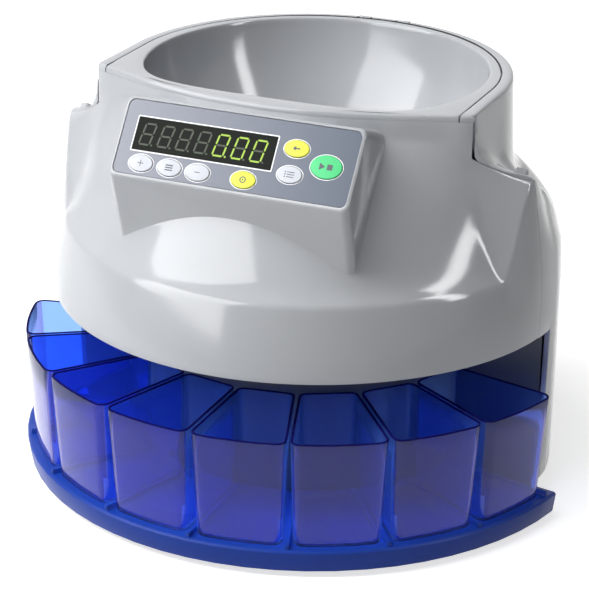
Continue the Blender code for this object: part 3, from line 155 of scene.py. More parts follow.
KEY_PLACES = {
    "key_plus": (-0.055, 0.009),
    "key_stack": (-0.037, 0.0088),
    "key_minus": (-0.0194, 0.0087),
    "key_set": (0.0088, 0.0087),
    "key_clear": (0.0357, 0.031),
    "key_list": (0.0352, 0.0157),
    "key_start": (0.0554, 0.0231),
}

# Hopper
SEAM_R = 0.111
HOPPER_GAP = 0.0008
HOPPER_INSET = 0.0002
SEAM_ROUND = 0.0005
FRONT_EDGE_START = 0.45
FRONT_EDGE_SPAN = 0.35
BOWL_CENTRE_Y = 0.0035
BOWL_R = 0.1035
BOWL_FRONT = 0.0737
BOWL_CORNER_POWER = 8
BOWL_WALL = 0.0024
THROAT_R = 0.045
THROAT_Z = 0.150
RIM_INNER = 0.002
RIM_MIDDLE = 0.006
MOUTH_ROUND = 0.0012
BOWL_FIRST_DEPTH = 0.03
BOWL_LAST_DEPTH = 0.08
EAR_X = 0.013
EAR_R = 0.0026
EAR_EDGE = 0.0003
HINGE_Y = 0.1146
HINGE_Z = 0.2474
EAR_ARM = (0.008, 0.006, 0.0030)
EAR_ARM_Y = 0.1116
EAR_ARM_Z = 0.2478
EAR_NOTCH = (0.0096, 0.0115, 0.0128)
EAR_NOTCH_Y = 0.11225
EAR_NOTCH_Z = 0.2504
PIN_EDGE = 0.0002

# Holes for the sockets behind: width and height, and degrees round from the front
SOCKETS = {"inlet": (0.0276, 0.0206, 166), "switch": (0.0216, 0.0151, 181), "port": (0.0186, 0.0096, 195)}
SOCKET_Z = 0.034
SOCKET_REACH = 0.018

# Tray and cups
TRAY_R = 0.1775
CUP_RIM_R = 0.1763
CUP_FOOT_R = 0.1725
CUP_INNER_R = 0.1062
CUP_HALF_GAP = 0.0009
CUP_DRAFT = 0.0017
CUP_CORNER = 0.006
CUP_INNER_CORNER = 0.005
CUP_LEAST_CORNER = 0.0015
CUP_FOOT_ROUND = 0.0016
CUP_RIM_ROUND = 0.0006
CUP_RIM_BAND = 0.0017
CUP_ARC_SHARE = 0.72
# Which faces take the cups' painted sheen: those facing outward by this much, within this depth of the outer
# wall
CUP_OUTWARD = 0.6
CUP_SKIN_DEPTH = 0.001

# Outlines as shares of the sizes above, read along smooth curves
PARTING_WIDTHS = (0.955, 1.0, 0.955, 0.865, 0.82, 0.754, 0.41, 0.225, 0.08, 0.026, 0.0)
PARTING_HEIGHTS = (0.051, 0.561, 0.661, 0.785, 0.836, 0.848, 0.866, 0.882, 0.918, 0.962, 1.0)
REAR_WIDTHS = (1.0, 1.0, 0.99, 0.94, 0.88, 0.70, 0.445, 0.224, 0.09, 0.04, 0.0)
REAR_HEIGHTS = (0.051, 0.481, 0.591, 0.627, 0.654, 0.692, 0.73, 0.755, 0.789, 0.881, 1.0)
CONE_HEIGHTS = (0.0, 0.07, 0.18, 0.34, 0.54, 0.77, 1.0)
CONE_FRONTS = (1.0, 0.885, 0.763, 0.613, 0.455, 0.235, 0.0)
CONE_END_POWER = 1.9
WING_START = 0.87
PAST_PARTING = 1.02
NECK_X = (0.0, 0.25, 0.456, 0.66, 0.85, 1.0, 1.1)
NECK_Y = (1.0, 0.975, 0.918, 0.83, 0.72, 0.62, 0.30)
BOWL_DEPTHS = (0.0, 0.06, 0.24, 0.44, 0.64, 0.84, 1.0)
BOWL_WIDTHS = (1.0, 0.985, 0.92, 0.79, 0.597, 0.30, 0.0)

# How finely the curves are drawn, in points, and the angles from which an edge stays sharp, in degrees
SKIRT_POINTS = 10
CONE_POINTS = 26
QUARTER_POINTS = 7
CORNER_POINTS = 5
SEAM_POINTS = 3
RIM_POINTS = 6
MOUTH_POINTS = 4
BOX_CORNER_STEPS = 8
NECK_POINTS = 28
BACK_POINTS = 45
SIDE_SHARES = (0.85, 0.7, 0.55, 0.4, 0.25, 0.1)
BOWL_POINTS = 30
BOWL_UNDERSIDE_POINTS = 12
EAR_SEGMENTS = 32
OVAL_POINTS = 48
RING_POINTS = 24
DOT_POINTS = 16
CUP_ARC_POINTS = 13
CUP_CORNER_POINTS = 9
CUP_FOOT_POINTS = 5
CUP_RIM_POINTS = 7
CUP_FLOOR_POINTS = 4
CUP_HEIGHTS = (0.25, 0.5, 0.75, 1)
SHARP_ANGLE = 30
PLAIN_ANGLE = 32
HOPPER_ANGLE = 40
CUP_ANGLE = 50
KEY_ANGLE = 50
KEY_BEVEL_ANGLE = 60

# Camera and stage
CAMERA_AZIMUTH = math.radians(23.27)
CAMERA_ELEVATION = math.radians(22.62)
CAMERA_DISTANCE = 1.4186
CAMERA_AIM_SIDE = -0.0099
CAMERA_AIM_HEIGHT = 0.095
CAMERA_ROLL = math.radians(0.79)
CAMERA_LENS = 136.7
CAMERA_SHIFT = 4.42 / 600
AMBIENT = 0.06
FLOOR_GLOW = 0.72
SHADOW_OF_CLEAR_WALL = 0.1
LIGHT_AIM_HEIGHT = 0.15
LIGHT_DISTANCE = 2.0
FLOOR_HALF_WIDTH = 6
PAPER_SHADE = "e0e0e0"
PAPER_GRAIN = 0.00002
PAPER_SCALE = 400.0
SENSOR_WIDTH = 36
CAMERA_REACH = 20
# Name, degrees round from the front, degrees up, width and height, watts, and what it gives
LAMPS = (
    ("key_light", -60, 38, (1.2, 1.2), 34, "light"),
    ("top_light", -30, 66, (1.2, 1.2), 29, "light"),
    ("front_softbox", -38, 25, (1.8, 1.6), 46, "reflection"),
    ("strip_softbox", 80, 27, (0.30, 1.5), 16, "reflection"),
)


# Small tools


def polar(radius, angle, height=0.0):
    """A point at an angle measured from the front round to the right."""
    return Vector((radius * math.sin(angle), -radius * math.cos(angle), height))


def blend(first, second, share):
    return first + (second - first) * share


def ease(share):
    share = min(max(share, 0.0), 1.0)
    return share * share * (3 - 2 * share)


def spread(start, stop, count):
    return [blend(start, stop, i / (count - 1)) for i in range(count)]


def smooth_curve(places, amounts):
    """A smooth reading between the points of a table, which never swings past them."""
    steps = np.diff(places)
    slopes = np.diff(amounts) / steps
    leans = np.zeros(len(places))
    leans[0] = slopes[0]
    leans[-1] = slopes[-1]
    for i in range(1, len(slopes)):
        if slopes[i - 1] * slopes[i] > 0:
            leans[i] = 2 / (1 / slopes[i - 1] + 1 / slopes[i])

    def read(value):
        i = int(np.clip(np.searchsorted(places, value) - 1, 0, len(steps) - 1))
        t = (value - places[i]) / steps[i]
        start = amounts[i] * (1 + 2 * t) * (1 - t) ** 2 + leans[i] * steps[i] * t * (1 - t) ** 2
        stop = amounts[i + 1] * t * t * (3 - 2 * t) - leans[i + 1] * steps[i] * t * t * (1 - t)
        return float(start + stop)

    return read


def hex_colour(text):
    """Turns an sRGB hex colour to Blender's linear one."""
    parts = [int(text[i:i + 2], 16) / 255 for i in (0, 2, 4)]
    return (*[p / 12.92 if p <= 0.04045 else ((p + 0.055) / 1.055) ** 2.4 for p in parts], 1.0)


def add_node(tree, kind, values=None, links=None, **settings):
    """Adds a node with its settings, its own values and what is linked into it."""
    node = tree.nodes.new(f"ShaderNode{kind}")
    for name, value in settings.items():
        setattr(node, name, value)
    for socket, value in (values or {}).items():
        node.inputs[socket].default_value = value
    for socket, source in (links or {}).items():
        tree.links.new(source, node.inputs[socket])
    return node


# Materials


def surface(name, shades, roughness, mottle_mm, grain_mm, grain_depth_mm, values, stretch, sweep):
    """A finish whose shade and gloss wander a little, with a fine moulded or brushed grain.

    A sweep gives two places along X between which the first shade turns to the second: painted light, lighter
    on one side and in painted shade on the other.
    """
    made = bpy.data.materials.new(name)
    made.use_nodes = True
    tree = made.node_tree
    tree.nodes.clear()
    place = add_node(tree, "TexCoord").outputs["Object"]
    if stretch != (1, 1, 1):
        place = add_node(tree, "Mapping", {"Scale": stretch}, {"Vector": place}).outputs["Vector"]
    mottle = add_node(tree, "TexNoise", {"Scale": 1000 / mottle_mm, "Detail": 3.0}, {"Vector": place})
    grain = add_node(tree, "TexNoise", {"Scale": 1000 / grain_mm, "Detail": 2.0}, {"Vector": place})
    # The Mix node's colour sockets: 6 and 7 go in, and 2 comes out
    shade = add_node(tree, "Mix", data_type="RGBA")
    shade.inputs[6].default_value = hex_colour(shades[0])
    shade.inputs[7].default_value = hex_colour(shades[1])
    amount = mottle.outputs["Fac"]
    # The sweep is painted light: a lighter shade on one side turning to a painted shade on the other, in place
    # of the mottle
    if sweep:
        across = add_node(tree, "SeparateXYZ", links={"Vector": place}).outputs["X"]
        amount = add_node(tree, "MapRange", {"From Min": sweep[0], "From Max": sweep[1]},
                          {"Value": across}).outputs["Result"]
    tree.links.new(amount, shade.inputs[0])
    gloss = add_node(tree, "MapRange", {"To Min": roughness[0], "To Max": roughness[1]},
                     {"Value": mottle.outputs["Fac"]})
    bump = add_node(tree, "Bump", {"Strength": 1.0, "Distance": grain_depth_mm / 1000},
                    {"Height": grain.outputs["Fac"]})
    shader = add_node(tree, "BsdfPrincipled", values,
                      {"Base Color": shade.outputs[2], "Roughness": gloss.outputs["Result"],
                       "Normal": bump.outputs["Normal"]})
    add_node(tree, "OutputMaterial", links={"Surface": shader.outputs["BSDF"]})
    return made


# Each finish: its two shades (a colour of the panel below, or sRGB hex), its least and most roughness, the size
# of its mottle and grain and the grain's depth in millimetres, and the shader's own values
FINISH_TABLE = {
    # ABS from a polished mould: a clean gloss over an even light grey, barely wavy
    "glossy_grey_abs": (("casing", "casing_shade"), (0.10, 0.14), (60, 9, 0.003), {"IOR": 1.54}),
    # ABS from a lightly spark-eroded mould: a soft sheen over a full blue
    "satin_blue_abs": (("tray", "tray_shade"), (0.30, 0.40), (40, 0.5, 0.012),
                       {"IOR": 1.54, "Specular IOR Level": 0.12}),
    # Tinted polystyrene from a polished mould: one wall is a pale sky blue, and walls in a row turn cobalt
    "clear_blue_polystyrene": (("cup", "cup_shade"), (0.03, 0.06), (30, 6, 0.004),
                               {"IOR": 1.38, "Transmission Weight": 0.94}),
    # The same plastic on the outer wall, with a slightly rougher face and a painted sheen: a violet tint
    # standing in for the white floor's reflection over the blue
    "blue_polystyrene_painted_sheen": (("cup_haze", "cup_haze_shade"), (0.06, 0.11), (30, 6, 0.004),
                               {"IOR": 1.35, "Transmission Weight": 0.96}),
    # The cup's rim, where the eye looks down through the wall and the tint gathers to navy
    "edge_lit_polystyrene": (("cup_rim", "cup_rim_shade"), (0.3, 0.4), (20, 4, 0.003),
                             {"IOR": 1.3, "Specular IOR Level": 0.02}),
    # Textured ABS of the inner drum: dark, even and dull
    "matt_slate_abs": (("drum", "drum_shade"), (0.38, 0.5), (30, 0.6, 0.02), {"IOR": 1.54}),
    # Moulded nylon of sockets, pulleys and the disc: near black with a dry sheen
    "black_nylon": (("1b1d20", "24272b"), (0.4, 0.52), (18, 0.5, 0.02), {"IOR": 1.53}),
    # Back-printed polycarbonate film: satin slate blue, with painted light: a painted reflection on the left
    # and painted shade deepening to the right
    "slate_membrane": (("overlay", "overlay_shade"), (0.30, 0.38), (90, 0.35, 0.006),
                       {"IOR": 1.585, "Specular IOR Level": 0.3}),
    # Smoked acrylic with an anti-glare face: near-black green, hardly a reflection
    "smoked_acrylic": (("0c120d", "111810"), (0.10, 0.14), (40, 8, 0.002),
                       {"IOR": 1.49, "Specular IOR Level": 0.06}),
    # Moulded silicone of the plain keys: an off-white with a soft matt face
    "white_silicone": (("c4c8d0", "cdd1d8"), (0.38, 0.48), (8, 0.4, 0.008), {"IOR": 1.43}),
    # The same silicone, pigmented a clear lemon yellow through its depth
    "yellow_silicone": (("key_yellow", "e3e64a"), (0.38, 0.48), (8, 0.4, 0.008), {"IOR": 1.43}),
    # The same silicone, pigmented the light green that marks the start key
    "green_silicone": (("key_green", "46cf80"), (0.38, 0.48), (8, 0.4, 0.008), {"IOR": 1.43}),
    # Opaque screen-print ink: flat white, very slightly raised
    "white_print": (("f1f3f7", "ffffff"), (0.42, 0.5), (10, 0.3, 0.004), {"IOR": 1.5}),
    # Screen-print ink of the keys' signs: flat dark grey, a hair above the key
    "dark_print": (("3b4048", "4a5058"), (0.42, 0.5), (10, 0.3, 0.004), {"IOR": 1.5}),
    # A glowing display segment seen through the window
    "lit_segment": (("6f8c1e", "7a9824"), (0.4, 0.5), (6, 0.5, 0.002),
                    {"Emission Color": "digit", "Emission Strength": 0.5}),
    # A display segment that is off: a grey-green ghost on the dark ground
    "unlit_segment": (("ghost", "26301f"), (0.4, 0.5), (6, 0.5, 0.002), {"IOR": 1.5}),
    # Vulcanised rubber: black, dull and finely pitted
    "black_rubber": (("131313", "1e1e1e"), (0.7, 0.85), (8, 0.4, 0.03), {"IOR": 1.52}),
    # Powder-coated sheet: dark grey with a fine orange peel
    "painted_steel": (("2a2d31", "34383d"), (0.42, 0.55), (25, 0.9, 0.02), {"IOR": 1.5}),
    # Brushed sheet: fine lines one way, a broad soft highlight
    "brushed_stainless": (("b7b9bc", "c6c8ca"), (0.26, 0.38), (12, 0.8, 0.006), {"Metallic": 1.0}),
    # Ground bar and rings: bright with hardly any grain
    "ground_steel": (("a9abaf", "babcc0"), (0.18, 0.3), (10, 0.5, 0.003), {"Metallic": 1.0}),
    # Glass-fibre board under green solder resist
    "green_circuit_board": (("14532d", "1c6a3a"), (0.28, 0.4), (5, 0.7, 0.01), {"IOR": 1.5}),
}
BRUSHING = {"brushed_stainless": (1, 12, 1)}
# The film's sweep paints a reflection on its left and shade deepening to its right
PAINTED_LIGHT_SWEEPS = {"slate_membrane": (-OVERLAY_HALF_WIDTH, OVERLAY_HALF_WIDTH)}
CLEAR_FINISHES = ("clear_blue_polystyrene", "blue_polystyrene_painted_sheen")
FINISHES = {}


def finish(name):
    """Makes each of the machine's finishes once, from what the real material is."""
    if name not in FINISHES:
        colours = bpy.context.scene.coin_sorter_colours
        shades, roughness, grain, values = FINISH_TABLE[name]
        shades = [getattr(colours, shade, shade) for shade in shades]
        values = {socket: hex_colour(getattr(colours, value)) if isinstance(value, str) else value
                  for socket, value in values.items()}
        made = surface(name, shades, roughness, *grain, values, BRUSHING.get(name, (1, 1, 1)), PAINTED_LIGHT_SWEEPS.get(name))
        if name in CLEAR_FINISHES:
            let_light_through(made)
        FINISHES[name] = made
    return FINISHES[name]


def let_light_through(made):
    """Lets lamps shine through clear walls, whose shadows would otherwise be as dark as a solid's."""
    tree = made.node_tree
    shader = next(node for node in tree.nodes if node.type == "BSDF_PRINCIPLED")
    path = add_node(tree, "LightPath")
    solid = add_node(tree, "MapRange", {"To Min": 1.0, "To Max": SHADOW_OF_CLEAR_WALL},
                     {"Value": path.outputs["Is Shadow Ray"]})
    tree.links.new(solid.outputs["Result"], shader.inputs["Alpha"])


# Making and dressing pieces


def mesh_object(name, bm, smooth_degrees=SHARP_ANGLE):
    mesh = bpy.data.meshes.new(name)
    bm.to_mesh(mesh)
    bm.free()
    mesh.shade_smooth()
    mesh.set_sharp_from_angle(angle=math.radians(smooth_degrees))
    obj = bpy.data.objects.new(name, mesh)
    bpy.context.scene.collection.objects.link(obj)
    return obj


def place_piece(obj, body, slot, replaced, *finishes):
    """Gives a piece its place in the frame and its finishes, in the order of its faces' material numbers."""
    for name in finishes:
        obj.data.materials.append(finish(name))
    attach(obj, body)
    if replaced:
        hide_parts(*replaced)


def woven(columns, closed=False):
    """A sheet of quads made from a grid, with each of its points moved to its place in the columns."""
    bm = bmesh.new()
    across = len(columns) - 1
    along = len(columns[0]) - 1
    bmesh.ops.create_grid(bm, x_segments=across, y_segments=along, size=1)
    for vert in bm.verts:
        i = round((vert.co.x + 1) / 2 * across)
        j = round((vert.co.y + 1) / 2 * along)
        vert.co = columns[i][j]
    if closed:
        bmesh.ops.remove_doubles(bm, verts=bm.verts[:], dist=MERGE)
        bmesh.ops.recalc_face_normals(bm, faces=bm.faces[:])
    return bm


def fill_holes(bm):
    bmesh.ops.holes_fill(bm, edges=[edge for edge in bm.edges if edge.is_boundary], sides=0)
    bmesh.ops.recalc_face_normals(bm, faces=bm.faces[:])


def ring_solid(rings):
    """A closed solid woven from rings of like count, with its two ends filled."""
    count = len(rings[0])
    bm = woven([[ring[i % count] for ring in rings] for i in range(count + 1)], closed=True)
    fill_holes(bm)
    return bm


def face_outward(bm, centre):
    """Turns an open sheet so that its faces look away from a point."""
    score = sum((f.calc_center_median() - centre).dot(f.normal) for f in bm.faces)
    if score < 0:
        bmesh.ops.reverse_faces(bm, faces=bm.faces[:])


def both_halves(bm, centre):
    """Adds the mirrored half of an open sheet that ends on the middle plane."""
    bmesh.ops.mirror(bm, geom=[*bm.verts, *bm.edges, *bm.faces], axis="X", merge_dist=MERGE)
    bmesh.ops.remove_doubles(bm, verts=bm.verts[:], dist=MERGE)
    bmesh.ops.recalc_face_normals(bm, faces=bm.faces[:])
    face_outward(bm, centre)


def wall(obj, thickness):
    modifier = obj.modifiers.new("wall", "SOLIDIFY")
    modifier.thickness = thickness
    modifier.offset = -1
    modifier.use_even_offset = True
    modifier.use_quality_normals = True


def cut(obj, tool, operation="DIFFERENCE"):
    modifier = obj.modifiers.new(tool.name, "BOOLEAN")
    modifier.object = tool
    modifier.operation = operation
    modifier.solver = "EXACT"


def soften(obj, width, segments=2, angle=35):
    modifier = obj.modifiers.new("edges", "BEVEL")
    modifier.width = width
    modifier.segments = segments
    modifier.profile = 0.5
    modifier.limit_method = "ANGLE"
    modifier.angle_limit = math.radians(angle)
    modifier.miter_outer = "MITER_ARC"


def settle(obj, tools=(), smooth_degrees=SHARP_ANGLE):
    """Applies what the modifiers made and takes the cutting tools away."""
    bpy.context.view_layer.update()
    graph = bpy.context.evaluated_depsgraph_get()
    made = bpy.data.meshes.new_from_object(obj.evaluated_get(graph))
    made.name = obj.name
    obj.modifiers.clear()
    obj.data = made
    for tool in tools:
        bpy.data.objects.remove(tool, do_unlink=True)
    made.shade_smooth()
    made.set_sharp_from_angle(angle=math.radians(smooth_degrees))
    return obj


def box_tool(name, size, centre, turn=0.0):
    bm = bmesh.new()
    place = Matrix.Translation(centre) @ Matrix.Rotation(turn, 4, "Z") @ Matrix.Diagonal((*size, 1))
    bmesh.ops.create_cube(bm, size=1, matrix=place)
    return mesh_object(name, bm)


def softened_node(node, finish_name, slot, width, segments=2):
    """A copy of a CAD node with its edges eased, in place of the plain one."""
    bm = bmesh.new()
    bm.from_mesh(NODES[node].data)
    bmesh.ops.remove_doubles(bm, verts=bm.verts[:], dist=MERGE)
    bmesh.ops.dissolve_limit(bm, angle_limit=math.radians(1), verts=bm.verts[:], edges=bm.edges[:])
    obj = mesh_object(f"{node}_skin", bm)
    soften(obj, width, segments)
    settle(obj, smooth_degrees=PLAIN_ANGLE)
    place_piece(obj, MOVING_BODIES.get(node, FIXED_BODY), slot, [node], finish_name)


# Shapes shared by the casing's skins


PARTING_CURVE = smooth_curve([FLANGE_TOP * share for share in PARTING_HEIGHTS], PARTING_WIDTHS)
NECK_CURVE = smooth_curve(NECK_X, NECK_Y)
CONE_CURVE = smooth_curve(CONE_HEIGHTS, CONE_FRONTS)
BOWL_CURVE = smooth_curve(BOWL_DEPTHS, BOWL_WIDTHS)


def parting_width(height):
    return blend(NECK_SIDE, BULGE_X, PARTING_CURVE(height))


def parting_depth(width):
    return (PARTING_X - width) * math.tan(PARTING_LEAN)


def neck_point(share):
    return Vector((NECK_SIDE * share, -NECK_FRONT * NECK_CURVE(share)))


def round_corner(before, corner, after, reach, count=CORNER_POINTS):
    """Points round a corner in place of its sharp point."""
    start = corner + (before - corner).normalized() * min(reach, (before - corner).length / 2)
    stop = corner + (after - corner).normalized() * min(reach, (after - corner).length / 2)
    return [start * (1 - t) ** 2 + corner * 2 * t * (1 - t) + stop * t * t for t in spread(0, 1, count)]


def cover_column(share, crease_round):
    """One column of the front cover's outer face, from the skirt up to the ledge under the hopper."""
    lift_share = ease((share - WING_START) / (1 - WING_START))
    side_share = ease((share - SIDE_START) / SIDE_SPAN)
    crease_z = blend(CREASE_Z, SHOULDER_Z, lift_share)
    column = []
    for wall_share in spread(0, 1, SKIRT_POINTS):
        z = blend(SKIRT_Z, crease_z, wall_share)
        front = blend(SKIRT_R, CREASE_R, wall_share**SKIRT_BOW)
        end_x = parting_width(blend(SKIRT_Z, SHOULDER_Z, wall_share))
        end_y = parting_depth(end_x)
        angle = share * math.atan2(end_x, end_y)
        radius = blend(front, math.hypot(end_x, end_y), side_share)
        column.append(polar(radius, angle, z))
    crease = column.pop()
    neck = neck_point(share)
    cone_radius = max(blend(CONE_TOP_R, 0, side_share), neck.length)
    top_z = blend(CONE_TOP_Z, WING_TOP_Z, lift_share)
    cone_top = Vector((*(neck.normalized() * cone_radius), top_z))
    cone = []
    for height_share in spread(0, 1, CONE_POINTS)[1:]:
        out = blend(CONE_CURVE(height_share), (1 - height_share) ** CONE_END_POWER, lift_share)
        plan = cone_top.xy.lerp(crease.xy, out)
        cone.append(Vector((*plan, blend(crease_z, top_z, height_share))))
    column += round_corner(column[-1], crease, cone[0], crease_round)
    column += cone
    foot = Vector((*neck, top_z + NECK_RISE))
    ledge = Vector((*neck, LEDGE_Z))
    column += [foot, foot.lerp(ledge, 0.5), ledge]
    column.append(Vector((*(neck - neck.normalized() * LEDGE_WIDTH), LEDGE_Z)))
    return [point + AXIS for point in column]


def box_outline(inset):
    """The room in the panel box from the side: in by a wall where its faces show, and past the open ones."""
    corners = [Vector((-PANEL_FRONT_Y, PANEL_FRONT_Z)), Vector((-PANEL_BACK_Y, PANEL_BACK_Z)),
               Vector((-BOX_NECK_Y, BOX_NECK_Z)), Vector((-BOX_FOOT_Y + BOX_FOOT_DEPTH, BOX_FOOT_Z)),
               Vector((-BOX_FOOT_Y, BOX_FOOT_Z))]
    insets = [inset + OVERLAY_RECESS, inset, -OVERRUN, -OVERRUN, inset]
    lines = []
    for i, corner in enumerate(corners):
        along = (corners[(i + 1) % len(corners)] - corner).normalized()
        lines.append((corner + Vector((along.y, -along.x)) * insets[i], along))
    points = []
    for i, (start, along) in enumerate(lines):
        last_start, last_along = lines[i - 1]
        gap = start - last_start
        reach = gap.cross(along) / last_along.cross(along)
        points.append(last_start + last_along * reach)
    return points


def box_prism(name, points, half_width):
    """The panel box's side outline drawn out to both sides."""
    bm = bmesh.new()
    face = bm.faces.new([bm.verts.new((-half_width, y + AXIS_Y, z)) for y, z in points])
    moved = bmesh.ops.extrude_face_region(bm, geom=[face])["geom"]
    verts = [item for item in moved if isinstance(item, bmesh.types.BMVert)]
    bmesh.ops.translate(bm, vec=(half_width * 2, 0, 0), verts=verts)
    bmesh.ops.recalc_face_normals(bm, faces=bm.faces[:])
    return mesh_object(name, bm)


def panel_box(name, corner, edge):
    """The panel box's outer face: a rounded rectangle drawn down from the panel to its foot in the cover."""
    front = Vector((-PANEL_FRONT_Y, PANEL_FRONT_Z))
    back = Vector((-PANEL_BACK_Y, PANEL_BACK_Z))
    foot = Vector((-BOX_FOOT_Y, BOX_FOOT_Z))
    neck = Vector((-BOX_NECK_Y, BOX_NECK_Z))
    depth = (back - front).length

    def ring(inset, drop, share=0.0):
        points = []
        half = BOX_HALF_WIDTH - inset
        for x, v in round_box(-half, half, inset, depth - inset, corner - inset, BOX_CORNER_STEPS):
            top = front.lerp(back, v / depth)
            low = foot.lerp(neck, v / depth)
            y, z = (top + (low - top).normalized() * drop).lerp(low, share)
            points.append(Vector((x, y + AXIS_Y, z)))
        return points

    rings = [ring(edge * (1 - math.sin(t)), edge * (1 - math.cos(t)))
             for t in spread(0, math.pi / 2, QUARTER_POINTS)]
    rings += [ring(0, edge, share) for share in (0.5, 1)]
    return mesh_object(name, ring_solid(rings))


# Flat outlines on the panel


PANEL_PLACE = (Matrix.Translation((0, AXIS_Y - PANEL_FRONT_Y, PANEL_FRONT_Z))
               @ Matrix.Rotation(PANEL_SLOPE, 4, "X"))


def round_box(left, right, low, high, radius, steps=6):
    points = []
    for x, y, start in ((right - radius, high - radius, 0), (left + radius, high - radius, 90),
                        (left + radius, low + radius, 180), (right - radius, low + radius, 270)):
        for step in range(steps + 1):
            angle = math.radians(start + 90 * step / steps)
            points.append((x + radius * math.cos(angle), y + radius * math.sin(angle)))
    return points


def oval(radii, centre=(0, 0), steps=OVAL_POINTS, grow=0.0):
    return [(centre[0] + (radii[0] + grow) * math.cos(math.tau * i / steps),
             centre[1] + (radii[1] + grow) * math.sin(math.tau * i / steps)) for i in range(steps)]


def slab(points, low, high, place=None, bm=None):
    """A flat outline drawn up from one height to another, in the panel's plane."""
    bm = bm or bmesh.new()
    place = PANEL_PLACE if place is None else place
    face = bm.faces.new([bm.verts.new(place @ Vector((x, y, low))) for x, y in points])
    moved = bmesh.ops.extrude_face_region(bm, geom=[face])["geom"]
    verts = [item for item in moved if isinstance(item, bmesh.types.BMVert)]
    rise = place.to_3x3() @ Vector((0, 0, high - low))
    bmesh.ops.translate(bm, vec=rise, verts=verts)
    bmesh.ops.recalc_face_normals(bm, faces=bm.faces[:])
    return bm


def key_radii(name):
    sizes = bpy.context.scene.coin_sorter_sizes
    if name == "key_start":
        return (sizes.start_key / 2, sizes.start_key / 2 * START_KEY_FLAT)
    return (sizes.key / 2, sizes.key / 2 * KEY_FLAT)


# Pieces


def make_front_cover(sizes):
    shares = [1 - (1 - t) ** COLUMN_PACKING for t in spread(0, 1, COVER_COLUMNS)] + [PAST_PARTING]
    bm = woven([cover_column(share, sizes.crease_round) for share in shares])
    centre = AXIS + Vector((0, 0, CREASE_Z))
    both_halves(bm, centre)
    cover = mesh_object("front_cover_skin", bm)
    wall(cover, sizes.skin)
    tools = [parting_tool(side, True) for side in (-1, 1)]
    neck_end = sizes.skin - parting_depth(NECK_SIDE)
    tools.append(box_tool("neck_end", (2 * (NECK_SIDE + SEAT), TOOL_REACH, TOOL_REACH),
                          (0, AXIS_Y + neck_end + TOOL_REACH / 2, FLANGE_TOP)))
    tools.append(panel_box("panel_box", BOX_CORNER, sizes.box_round))
    for tool in tools:
        cut(cover, tool, "UNION" if tool.name == "panel_box" else "DIFFERENCE")
    done = len(tools)
    tools.append(box_prism("panel_room", box_outline(sizes.wall), BOX_HALF_WIDTH - sizes.wall))
    tools.append(neck_room(sizes.wall))
    recess = round_box(-OVERLAY_HALF_WIDTH - SEAT, OVERLAY_HALF_WIDTH + SEAT, OVERLAY_LOW - SEAT,
                       OVERLAY_HIGH + SEAT, OVERLAY_CORNER)
    tools.append(mesh_object("overlay_recess", slab(recess, -OVERLAY_RECESS, OVERRUN)))
    for tool in tools[done:]:
        cut(cover, tool)
    soften(cover, sizes.edge, 2, SHELL_ANGLE)
    settle(cover, tools)
    place_piece(cover, FIXED_BODY, "casing", ["front_cover"], "glossy_grey_abs")


def parting_tool(side, behind):
    """A block that takes away what lies behind the parting line, or in front of it, on one side."""
    inner = 0 if behind else (SEAM_R - NECK_SIDE) / math.cos(PARTING_LEAN)
    length = TRAY_R - inner
    toward = 1 if behind else -1
    middle = Vector((side * (inner + length / 2), toward * (TRAY_R - SEAM) / 2))
    start = Vector((side * NECK_SIDE, -parting_depth(NECK_SIDE)))
    centre = start + Matrix.Rotation(side * PARTING_LEAN, 2) @ middle
    place = Vector((*centre, FLANGE_TOP / 2)) + AXIS
    return box_tool(f"parting_{side}", (length, TRAY_R, FLANGE_TOP * 3), place, side * PARTING_LEAN)


def neck_room(thickness):
    """The space inside the neck, where the bowl hangs."""
    points = []
    for step in range(-NECK_COLUMNS, NECK_COLUMNS + 1):
        neck = neck_point(abs(step) / NECK_COLUMNS)
        neck -= neck.normalized() * (thickness + SEAT)
        points.append((math.copysign(neck.x, step), neck.y + AXIS_Y))
    return mesh_object("neck_room", slab(points, CREASE_Z, LEDGE_Z - thickness - SEAT, Matrix.Identity(4)))


def roundness(height):
    """One where the wall is round in plan, and zero where its side runs straight."""
    round_top = FLANGE_TOP * PARTING_HEIGHTS[2]
    return 1 - ease((height - round_top) / (SHOULDER_Z - round_top))


def housing_wall(place, rows):
    """One column of the rear housing's outer face, from 0 on the parting line to 1 at the middle behind."""
    column = []
    for height_share, rear_width, rear_height in rows:
        height = FLANGE_TOP * height_share
        end_x = parting_width(height)
        end_y = parting_depth(end_x)
        bend = roundness(height)
        radius = math.sqrt(end_x**2 + bend * end_y**2)
        rear_z = FLANGE_TOP * rear_height
        if place < FRONT_PLACE:
            y = blend(end_y + PAST_SEAM, 0, place / FRONT_PLACE)
            z = blend(height, rear_z, SIDE_DROP * ease(1 - y / end_y))
            column.append(Vector((math.sqrt(radius**2 - bend * y**2), -y, z)))
            continue
        angle = side_angle(place)
        start = ease((math.pi / 2 - BLEND_START) / (BLEND_END - BLEND_START))
        back = (ease((angle - BLEND_START) / (BLEND_END - BLEND_START)) - start) / (1 - start)
        rear_radius = blend(NECK_SIDE, HOUSING_R, rear_width)
        z = blend(height, rear_z, blend(SIDE_DROP, 1, back))
        column.append(polar(blend(radius, rear_radius, back), angle, z))
    column[0].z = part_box("rear_housing")[0].z
    return column


def side_angle(place):
    return math.pi / 2 * (1 + (place - FRONT_PLACE) / (1 - FRONT_PLACE))


def lip_point(place, reach, z):
    """A point of the collar's rim, straight at the side and round behind."""
    if place < FRONT_PLACE:
        y = blend(parting_depth(NECK_SIDE) + PAST_SEAM, 0, place / FRONT_PLACE)
        return Vector((reach, -y, z))
    return polar(reach, side_angle(place), z)


